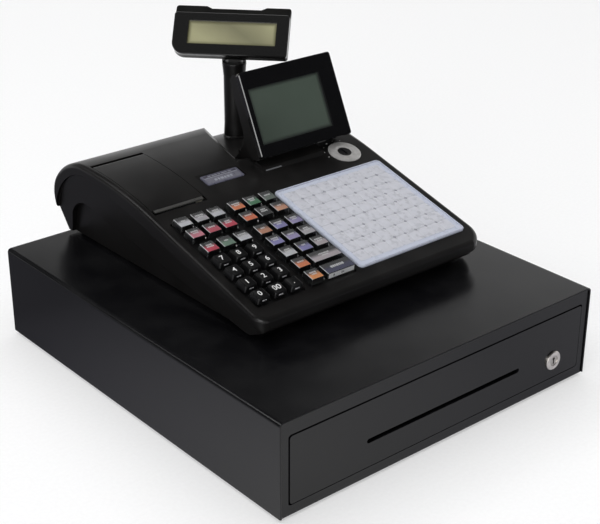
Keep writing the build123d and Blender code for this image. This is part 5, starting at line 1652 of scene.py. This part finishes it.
    def front_strip(self, name: str, place: Matrix, body: str) -> None:
        """White label with three dark marks on the front of the wide key nearest the operator.

        Args:
            name: The key's name.
            place: The key's place.
            body: The key's body.
        """
        height = self.clear_height - self.clear_skin
        foot = self.cap / 2 - self.clear_skin
        top = foot * self.clear_top / self.cap
        lean = Matrix.Rotation(-math.atan2(foot - top, height), 4, "X")
        spot = place @ shifted(0, -(foot + top) / 2 - 0.05, height / 2) @ lean
        strip = Shape.block(f"front_label_{name}", (self.cap + self.pitch - 3.4, 0.12, height - 1.0))
        strip.bevel(front_to_back, 0.4, 3)
        strip.move(spot).dress(body, "key_clear", PrintInk("front_white", grey(250, 250, 250)).build())
        marks = [Shape.block("front_mark", (width, 0.16, tall), (x, -0.02, 0))
                 for x, width, tall in self.front_marks]
        joined = marks[0].join(*marks[1:])
        joined.thing.name = f"front_marks_{name}"
        joined.bevel(front_to_back, 0.3, 2)
        joined.move(spot).dress(body, "key_clear", self.labels[KeyColour.INK])


# ------------------------------------------------------------------ flat keypad
@dataclass
class FlatKeypad:
    """Soft cover with a thick rim over a field of cushioned cells. Lengths are millimetres."""

    x: float = 63.2
    s: float = 88.2
    width: float = 145.4
    length: float = 138.6
    sunk: float = 1.2
    proud: float = 2.0
    corner: float = 5.0
    edge: float = 0.9
    rim: float = 2.2
    border: float = 4.6
    field_drop: float = 0.9
    field_wall: float = 0.5
    groove_width: float = 0.6
    groove_wall: float = 0.4
    groove_depth: float = 0.4
    columns: int = 9
    rows: int = 8
    cell_height: float = 0.32
    cell_gap: float = 0.14
    cell_corner: float = 1.9
    cell_edge: float = 0.25

    def build(self) -> None:
        """Makes the sheet and its cells."""
        place = LAYOUT.deck(self.x, self.s)
        sheet = Shape.block("keypad_sheet", (self.width, self.length, self.proud + self.sunk),
                            (0, 0, (self.proud - self.sunk) / 2))
        sheet.bevel(upright, self.corner, 6)
        sheet.bevel(on_top(self.proud), self.edge, 4)
        sheet.inset(upward, self.rim - self.edge)
        sheet.inset(upward, self.field_wall, -self.field_drop - self.groove_depth)
        sheet.inset(upward, self.groove_width)
        sheet.inset(upward, self.groove_wall, self.groove_depth)
        width, length = (size - 2 * (self.rim + self.border) for size in (self.width, self.length))
        finish = SoftSheet("keypad_sheet", grey(146, 147, 156), grey(186, 191, 206),
                           width / 2 - self.groove_wall, length / 2 - self.groove_wall).build(place)
        sheet.smooth(45.0).move(place).dress("base", "pad_sheet", finish, "flat_keypad")
        self.cells(place, width, length)

    def cells(self, place: Matrix, width: float, length: float) -> None:
        """Low cushions in rows, with cut corners that leave a dark diamond between four.

        Args:
            place: Middle of the sheet.
            width: Width of the field.
            length: Length of the field.
        """
        step_x, step_s = width / self.columns, length / self.rows
        level = self.proud - self.field_drop
        cell = Shape.block("keypad_cells", (step_x - self.cell_gap, step_s - self.cell_gap, self.cell_height),
                           ((step_x - width) / 2, (step_s - length) / 2, level + self.cell_height / 2))
        cell.bevel(upright, self.cell_corner, 1)
        cell.bevel(on_top(level + self.cell_height), self.cell_edge, 2)
        for count, step in ((self.columns, (step_x, 0, 0)), (self.rows, (0, step_s, 0))):
            cell.modify("ARRAY", count=count, use_relative_offset=False, use_constant_offset=True,
                        constant_offset_displace=[s * MM for s in step])
        finish = SoftSheet("keypad_cell", grey(194, 195, 203), grey(188, 192, 204), width / 2, length / 2)
        cell.smooth(50.0).move(place).dress("base", "pad_sheet", finish.build(place))


# ------------------------------------------------------------------ small trim
@dataclass
class DeckTrim:
    """Print and trim on the register's deck. Lengths are millimetres."""

    mode_x: float = 112.45
    mode_s: float = 186.0
    mark_radius: float = 22.5
    mark_angles: tuple[float, ...] = (182.0, 158.0, 134.0, 110.0, 86.0, 62.0)
    dot_radius: float = 0.6
    large_dot: int = 3
    large_dot_radius: float = 0.9
    print_height: float = 0.06
    window_x: float = -38.75
    window_s: float = 205.5
    window_rise: float = 0.03
    band: Span = (41.0, 3.2)
    band_middle: float = 4.7
    rule: Span = (42.0, 0.8)
    rule_middle: float = 2.6
    block_rows: tuple[tuple[float, float, tuple[float, ...]], ...] = (
        (4.8, 0.9, (4.0, 6.5, 3.0, 7.5, 5.0)), (-2.4, 3.4, (3.0, 2.4, 3.4, 2.2, 3.0, 2.6)))
    block_gap: float = 1.2
    strip_x: float = 19.0
    strip_size: Triple = (21.0, 0.5, 1.5)
    strip_lean: float = -36.0
    strip_out: float = 1.2
    strip_rise: float = 1.4
    plinth_front_y: float = 186.0

    def build(self) -> None:
        """Makes each piece of trim."""
        self.mode_marks()
        self.window_lines()
        self.plinth_strip()

    def mode_marks(self) -> None:
        """Small white position dots round the mode switch."""
        dots = []
        for index, angle in enumerate(self.mark_angles):
            turn = math.radians(angle)
            radius = self.large_dot_radius if index == self.large_dot else self.dot_radius
            spot = (self.mark_radius * math.cos(turn), self.mark_radius * math.sin(turn), 0.05)
            dots.append(Shape.disc(f"dot_{index}", radius, 0.1, spot, 20))
        marks = dots[0].join(*dots[1:])
        marks.thing.name = "mode_marks"
        ink = PrintInk("mark_ink", grey(210, 210, 210)).build()
        marks.move(LAYOUT.deck(self.mode_x, self.mode_s)).dress("base", "housing", ink)

    def window_lines(self) -> None:
        """Print on the window plate: a dark band, a bright rule and rows of plain blocks."""
        place = LAYOUT.deck(self.window_x, self.window_s)
        back = place.inverted()
        face = max((back @ vertex.co).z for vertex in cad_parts["window_plate"].data.vertices)
        place = place @ shifted(0, 0, face / MM + self.window_rise)
        band = Shape.block("window_band", (*self.band, self.print_height), (0, self.band_middle, -0.02))
        band.move(place).dress("base", "lilac_plate", PrintInk("band_ink", grey(66, 64, 76)).build())
        bars = [Shape.block("window_lines", (*self.rule, self.print_height), (0, self.rule_middle, 0))]
        for y, tall, lengths in self.block_rows:
            x = -(sum(lengths) + self.block_gap * (len(lengths) - 1)) / 2
            for length in lengths:
                bars.append(Shape.block("dash", (length, tall, self.print_height), (x + length / 2, y, 0)))
                x += length + self.block_gap
        lines = bars[0].join(*bars[1:])
        lines.move(place).dress("base", "lilac_plate", PrintInk("plate_ink", grey(146, 148, 158)).build())

    def plinth_strip(self) -> None:
        """Narrow satin strip on the front of the low step before the display."""
        strip = Shape.block("plinth_strip", self.strip_size)
        strip.bevel(lambda first, last: True, 0.2, 2)
        slope = math.tan(math.radians(LAYOUT.deck_angle))
        z = LAYOUT.deck_start_z + (self.plinth_front_y - LAYOUT.deck_start_y) * slope + self.strip_rise
        spot = shifted(self.strip_x, self.plinth_front_y + self.strip_out, z)
        finish = Moulded("strip_grey", grey(96, 97, 100), roughness=0.3, wear=0.1).build()
        strip.smooth().move(Matrix.Translation(LAYOUT.corner()) @ spot @ turned(self.strip_lean, "X"))
        strip.dress("base", "housing", finish)


@dataclass
class PoleTop:
    """Cheeks on the pole's top that flank the display's knuckles. Lengths are millimetres."""

    half_width: float = 13.2
    half_depth: float = 11.2
    foot: float = -9.6
    slot_floor: float = -7.2
    slot_half: float = 10.2
    round_radius: float = 7.4
    front_of_neck: float = -6.3
    edge: float = 0.35

    def build(self) -> None:
        """Makes the cheeks from a rounded side profile, trimmed to the pole's oval."""
        setback = LAYOUT.customer_setback
        length = 2 * self.half_width + 2
        top = Shape.disc("pole_cheeks", self.round_radius, length, sides=64)
        top.move(turned(90, "Y"))
        rear = self.half_depth - setback
        neck = (length, rear - self.front_of_neck, -self.foot)
        top.cut(Shape.block("neck", neck, (0, (rear + self.front_of_neck) / 2, self.foot / 2)), "UNION")
        rim = (length, 3 * self.half_depth, self.slot_floor - self.foot)
        top.cut(Shape.block("rim", rim, (0, -setback, (self.slot_floor + self.foot) / 2)), "UNION")
        oval = Shape.disc("oval", self.half_width, 60.0, (0, 0, 0), 96)
        oval.move(shifted(0, -setback, 0) @ Matrix.Diagonal((1, self.half_depth / self.half_width, 1, 1)))
        top.cut(oval, "INTERSECT")
        slot = (2 * self.slot_half, 60.0, 40.0)
        top.cut(Shape.block("slot", slot, (0, 0, self.slot_floor + slot[2] / 2)))
        top.soften(self.edge, 2)
        finish = Moulded("pole_black", grey(13, 12, 12), roughness=0.34).build()
        top.smooth(40.0).move(LAYOUT.knuckle()).dress("display_pole", "housing", finish)


@dataclass
class CoverLip:
    """Front edge of the cabinet's folded cover, round its top and sides, darker than the cover: its raw sheet
    edge with painted shade of the gap beneath it. Lengths are millimetres.
    """

    proud: float = 0.8
    sheet: float = 1.7
    bend: float = 4.0
    overlap: float = 0.15
    edge: float = 0.3

    def build(self) -> None:
        """Cuts the lip out of a plate with the cover's rounded outline."""
        low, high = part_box("cabinet_cover")
        width, height = (high.x - low.x) / MM, (high.z - low.z) / MM
        deep = self.proud + self.overlap
        lip, inner = (self.plate(name, width - 2 * inset, depth, height, inset)
                      for name, depth, inset in (("cover_lip", deep, 0.0), ("inner", 4 * deep, self.sheet)))
        lip.cut(inner).soften(self.edge, 3, 60.0)
        middle = Vector(((low.x + high.x) / 2, low.y - (self.proud - self.overlap) / 2 * MM, low.z))
        # darker than the cabinet paint: painted shade of the thin gap under the cover's edge
        finish = PowderCoat("raw_edge_and_painted_shade", grey(6, 6, 8), roughness=0.4, wear=0.2).build()
        lip.smooth(30.0).move(Matrix.Translation(middle)).dress("base", "cabinet_steel", finish)

    def plate(self, name: str, width: float, depth: float, height: float, inset: float) -> Shape:
        """A plate that stands an inset below the cover's top, its upper corners bent as the cover's.

        Args:
            name: The plate's name.
            width: Its width.
            depth: Its depth.
            height: Its height.
            inset: How far its top lies below the cover's.

        Returns:
            The plate.
        """
        plate = Shape.block(name, (width, depth, height), (0, 0, height / 2 - inset))
        return plate.bevel(lambda first, last: front_to_back(first, last)
                           and min(first.z, last.z) > height - inset - 0.1, self.bend - inset, 6)


@dataclass
class Fasteners:
    """Pan-head screws on the back of the cabinet. Lengths are millimetres."""

    head_radius: float = 3.4
    head_height: float = 1.6
    dome: float = 0.9
    cross: Span = (3.4, 0.8)
    recess: float = 0.9
    sunk: float = 0.4
    side_inset: float = 12.0
    side_heights: Span = (22.0, 78.0)
    top_spots: Span = (-70.0, 70.0)
    top_inset: float = 12.0

    def pattern(self) -> Shape:
        """Pattern screw: domed head with a cross recess, its underside at z = 0.

        Returns:
            The pattern.
        """
        head = Shape.disc("screw", self.head_radius, self.head_height, (0, 0, self.head_height / 2), 24)
        head.bevel(on_top(self.head_height), self.dome, 4)
        for arm in (self.cross, self.cross[::-1]):
            head.cut(Shape.block("arm", (*arm, 2.0), (0, 0, self.head_height + 1.0 - self.recess)))
        return head.smooth(40.0)

    def build(self) -> None:
        """Places the screws."""
        finish = Metal("screw_steel", (0.10, 0.10, 0.105), roughness=0.32).build()
        pattern = self.pattern()
        low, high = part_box("cabinet_cover")
        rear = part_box("base_pan")[1].y
        left, right, top = low.x / MM + self.side_inset, high.x / MM - self.side_inset, high.z / MM
        spots = [(x, z) for x in (left, right) for z in self.side_heights]
        spots += [(x, top - self.top_inset) for x in self.top_spots]
        for index, (x, z) in enumerate(spots):
            place = shifted(x, rear / MM - self.sunk, z) @ turned(-90, "X")
            pattern.copy(f"rear_screw_{index + 1}").move(place).dress("base", "cabinet_steel", finish)
        pattern.drop()


@dataclass
class RearSockets:
    """Metal shells and posts of the sockets in the connector bay. Lengths are millimetres."""

    middle_z: float = 13.0
    data_x: Span = (-14.0, 14.0)
    shell: Triple = (16.6, 8.0, 5.0)
    shell_narrowing: float = 0.84
    shell_corner: float = 1.4
    shell_wall: float = 0.6
    shell_hollow: float = 3.6
    shell_proud: float = 1.5
    post_offset: float = 12.4
    post_radius: float = 2.2
    post_height: float = 4.0
    inlet_x: float = -43.0
    inlet: Triple = (17.0, 9.4, 1.6)
    inlet_corner: float = 2.0
    inlet_wall: float = 1.4
    inlet_hollow: float = 1.2
    bay_half_width: float = 61.0
    bay_heights: Span = (5.0, 21.0)
    bay_start: float = 250.0

    def build(self) -> None:
        """Makes the two data sockets and the inlet."""
        shell_finish = Metal("socket_shell", (0.62, 0.62, 0.6), roughness=0.3).build()
        core_finish = Moulded("socket_core", grey(18, 18, 20), roughness=0.5, wear=0.1, dust=0.02).build()
        for index, x in enumerate(self.data_x):
            shell = Shape.block(f"data_shell_{index + 1}", self.shell)
            shell.taper(lambda centre, normal: normal.y < -FACING, self.shell_narrowing, 1.0)
            shell.bevel(upright, self.shell_corner, 3)
            shell.inset(upward, self.shell_wall)
            shell.extrude(top_middle, (0, 0, -self.shell_hollow))
            place = self.bay_place(x, self.shell_proud)
            shell.smooth().move(place).dress("base", "bright_steel", shell_finish)
            for side, label in ((-1, "left"), (1, "right")):
                post = Shape.disc(f"data_post_{index + 1}_{label}", self.post_radius, self.post_height,
                                  (side * self.post_offset, 0, 0), 6)
                post.bevel(on_top(self.post_height / 2), 0.4, 2)
                post.smooth(30.0).move(place).dress("base", "bright_steel", shell_finish)
        inlet = Shape.block("mains_inlet", self.inlet)
        inlet.bevel(upright, self.inlet_corner, 4)
        inlet.inset(upward, self.inlet_wall)
        inlet.extrude(top_middle, (0, 0, -self.inlet_hollow))
        inlet.smooth().move(self.bay_place(self.inlet_x, 0.0)).dress("base", "inner_plastic", core_finish)

    def bay_place(self, x: float, proud: float) -> Matrix:
        """Matrix of a spot on the bay's inner wall, its z axis out of the wall.

        Args:
            x: Distance to the right of the middle, seen from the front.
            proud: Distance out of the wall.

        Returns:
            The placing matrix, in metres.
        """
        spot = LAYOUT.corner() + Vector((x, 0, self.middle_z)) * MM
        spot.y = self.wall_y() + proud * MM
        return Matrix.Translation(spot) @ turned(-90, "X")

    def wall_y(self) -> float:
        """Depth of the connector bay's inner wall, in metres: the second depth found in the bay.

        Returns:
            The depth.
        """
        corner = LAYOUT.corner()
        low, high = (height * MM for height in self.bay_heights)
        spots = [vertex.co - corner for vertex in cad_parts["lower_case"].data.vertices]
        depths = {round(spot.y + corner.y, 4) for spot in spots
                  if abs(spot.x) < self.bay_half_width * MM and low < spot.z < high
                  and spot.y > self.bay_start * MM}
        return sorted(depths)[:2][-1]


# ------------------------------------------------------------------ whole object
@dataclass
class TicketRegister:
    """Finishes of every carried-over CAD node."""

    def build(self) -> None:
        """Dresses the nodes."""
        self.cabinet()
        self.drawer()
        self.housings()
        self.mechanism()
        self.displays()

    def cabinet(self) -> None:
        """Painted sheet steel, rails and feet."""
        dress_nodes(PowderCoat("charcoal_paint", grey(11, 11, 13)).build(),
                    "cabinet_cover", "base_pan", "front_frame", "drawer_front")
        dress_nodes(Rubber("foot_rubber").build(), "rubber_feet")
        dress_nodes(Metal("zinc_plate", (0.55, 0.56, 0.58), roughness=0.36, mottle=0.3).build(),
                    "fixed_rails", "moving_rails", "drawer_box", "latch_lever", "feed_motor")
        dress_nodes(Metal("yoke_steel", (0.42, 0.42, 0.44), roughness=0.4).build(), "latch_solenoid")

    def drawer(self) -> None:
        """Till, coin tray, clips and lock."""
        till = Moulded("till_plastic", grey(44, 44, 47), roughness=0.38, grain_scale=1600.0, wear=0.5)
        dress_nodes(till.build(), "till_insert", "coin_tray")
        clip = Moulded("clip_plastic", grey(30, 30, 32), roughness=0.34, wear=0.6)
        dress_nodes(clip.build(), *(f"bill_clip_{index + 1}" for index in range(4)))
        axis = Matrix.Translation(middle_of("lock_body")) @ turned(90, "X")
        dress_nodes(SpunMetal("lock_ring", (0.84, 0.8, 0.75), 0.26).build(axis), "lock_body")
        dress_nodes(SpunMetal("lock_plug", (0.62, 0.59, 0.55), 0.3).build(axis), "lock_plug")

    def housings(self) -> None:
        """Register shells, deck parts and pole."""
        dress_nodes(Moulded("satin_brown_black", grey(16, 15, 15), roughness=0.34).build(), "upper_case",
                    "lower_case", "printer_cover", "display_bracket", "pole", "display_back")
        dress_nodes(Moulded("plate_plastic", grey(16, 16, 17), 0.5, wear=0.0).build(), "keyboard_plate")
        ring = LAYOUT.deck(DeckTrim.mode_x, DeckTrim.mode_s)
        dress_nodes(SpunMetal("mode_ring", (0.54, 0.53, 0.52), 0.34, 0.45).build(ring), "mode_ring")
        dress_nodes(Moulded("rotor_black", grey(18, 18, 20), 0.3, wear=0.8).build(), "mode_rotor")
        plate = SoftSheet("lilac_plate", grey(104, 104, 114), grey(84, 84, 98), 22.0, 7.0)
        dress_nodes(plate.build(LAYOUT.deck(DeckTrim.window_x, DeckTrim.window_s)), "window_plate")

    def mechanism(self) -> None:
        """Printer parts."""
        dress_nodes(Moulded("frame_plastic", grey(50, 51, 54), 0.45).build(), "printer_frame")
        dress_nodes(Rubber("platen_rubber", (0.03, 0.03, 0.032)).build(), "platen_roller")
        acetal = Moulded("acetal", grey(222, 216, 200), 0.34, grain_depth=0.00001, wear=0.1)
        dress_nodes(acetal.build(), "platen_gear", "feed_pinion")
        dress_nodes(Metal("tear_steel", (0.6, 0.6, 0.58), roughness=0.3).build(), "tear_bar")
        axis = Matrix.Translation(middle_of("paper_roll")) @ turned(90, "Y")
        dress_nodes(RolledPaper("thermal_paper").build(axis), "paper_roll")

    def displays(self) -> None:
        """Gloss bezels and liquid crystal panels."""
        dress_nodes(Gloss("black_gloss", grey(9, 9, 11)).build(), "display_bezel")
        dress_nodes(Gloss("grey_black_gloss", grey(24, 24, 24)).build(), "customer_front")
        dress_nodes(Moulded("crown_black", grey(17, 17, 16), roughness=0.34).build(), "customer_back")
        # each panel carries a painted reflection band across its crystal
        operator = LiquidCrystal("operator_crystal", grey(64, 74, 66), grey(30, 34, 32), 48.25, 30.0,
                                 (-8.05, 43.4))
        dress_nodes(operator.build(LAYOUT.display()), "display_lcd")
        customer = LiquidCrystal("customer_crystal", grey(134, 132, 102), grey(90, 88, 58), 48.2, 13.65,
                                 (-1.8, 15.7), pitch=0.6, reflection_valley=0.0105, spread=0.05, reflection_shades=(0.68, 1.5))
        dress_nodes(customer.build(LAYOUT.customer()), "customer_lcd")


def main() -> None:
    """Builds the stage, dresses the frame and adds the modelled pieces."""
    logging.basicConfig(level=logging.INFO, format="%(message)s")
    for part in (Studio(), TicketRegister(), Keyboard(), FlatKeypad(), DeckTrim(), PoleTop(), CoverLip(),
                 Fasteners(), RearSockets()):
        LOG.info("building %s", type(part).__name__)
        part.build()


if __name__ == "__main__":
    main()
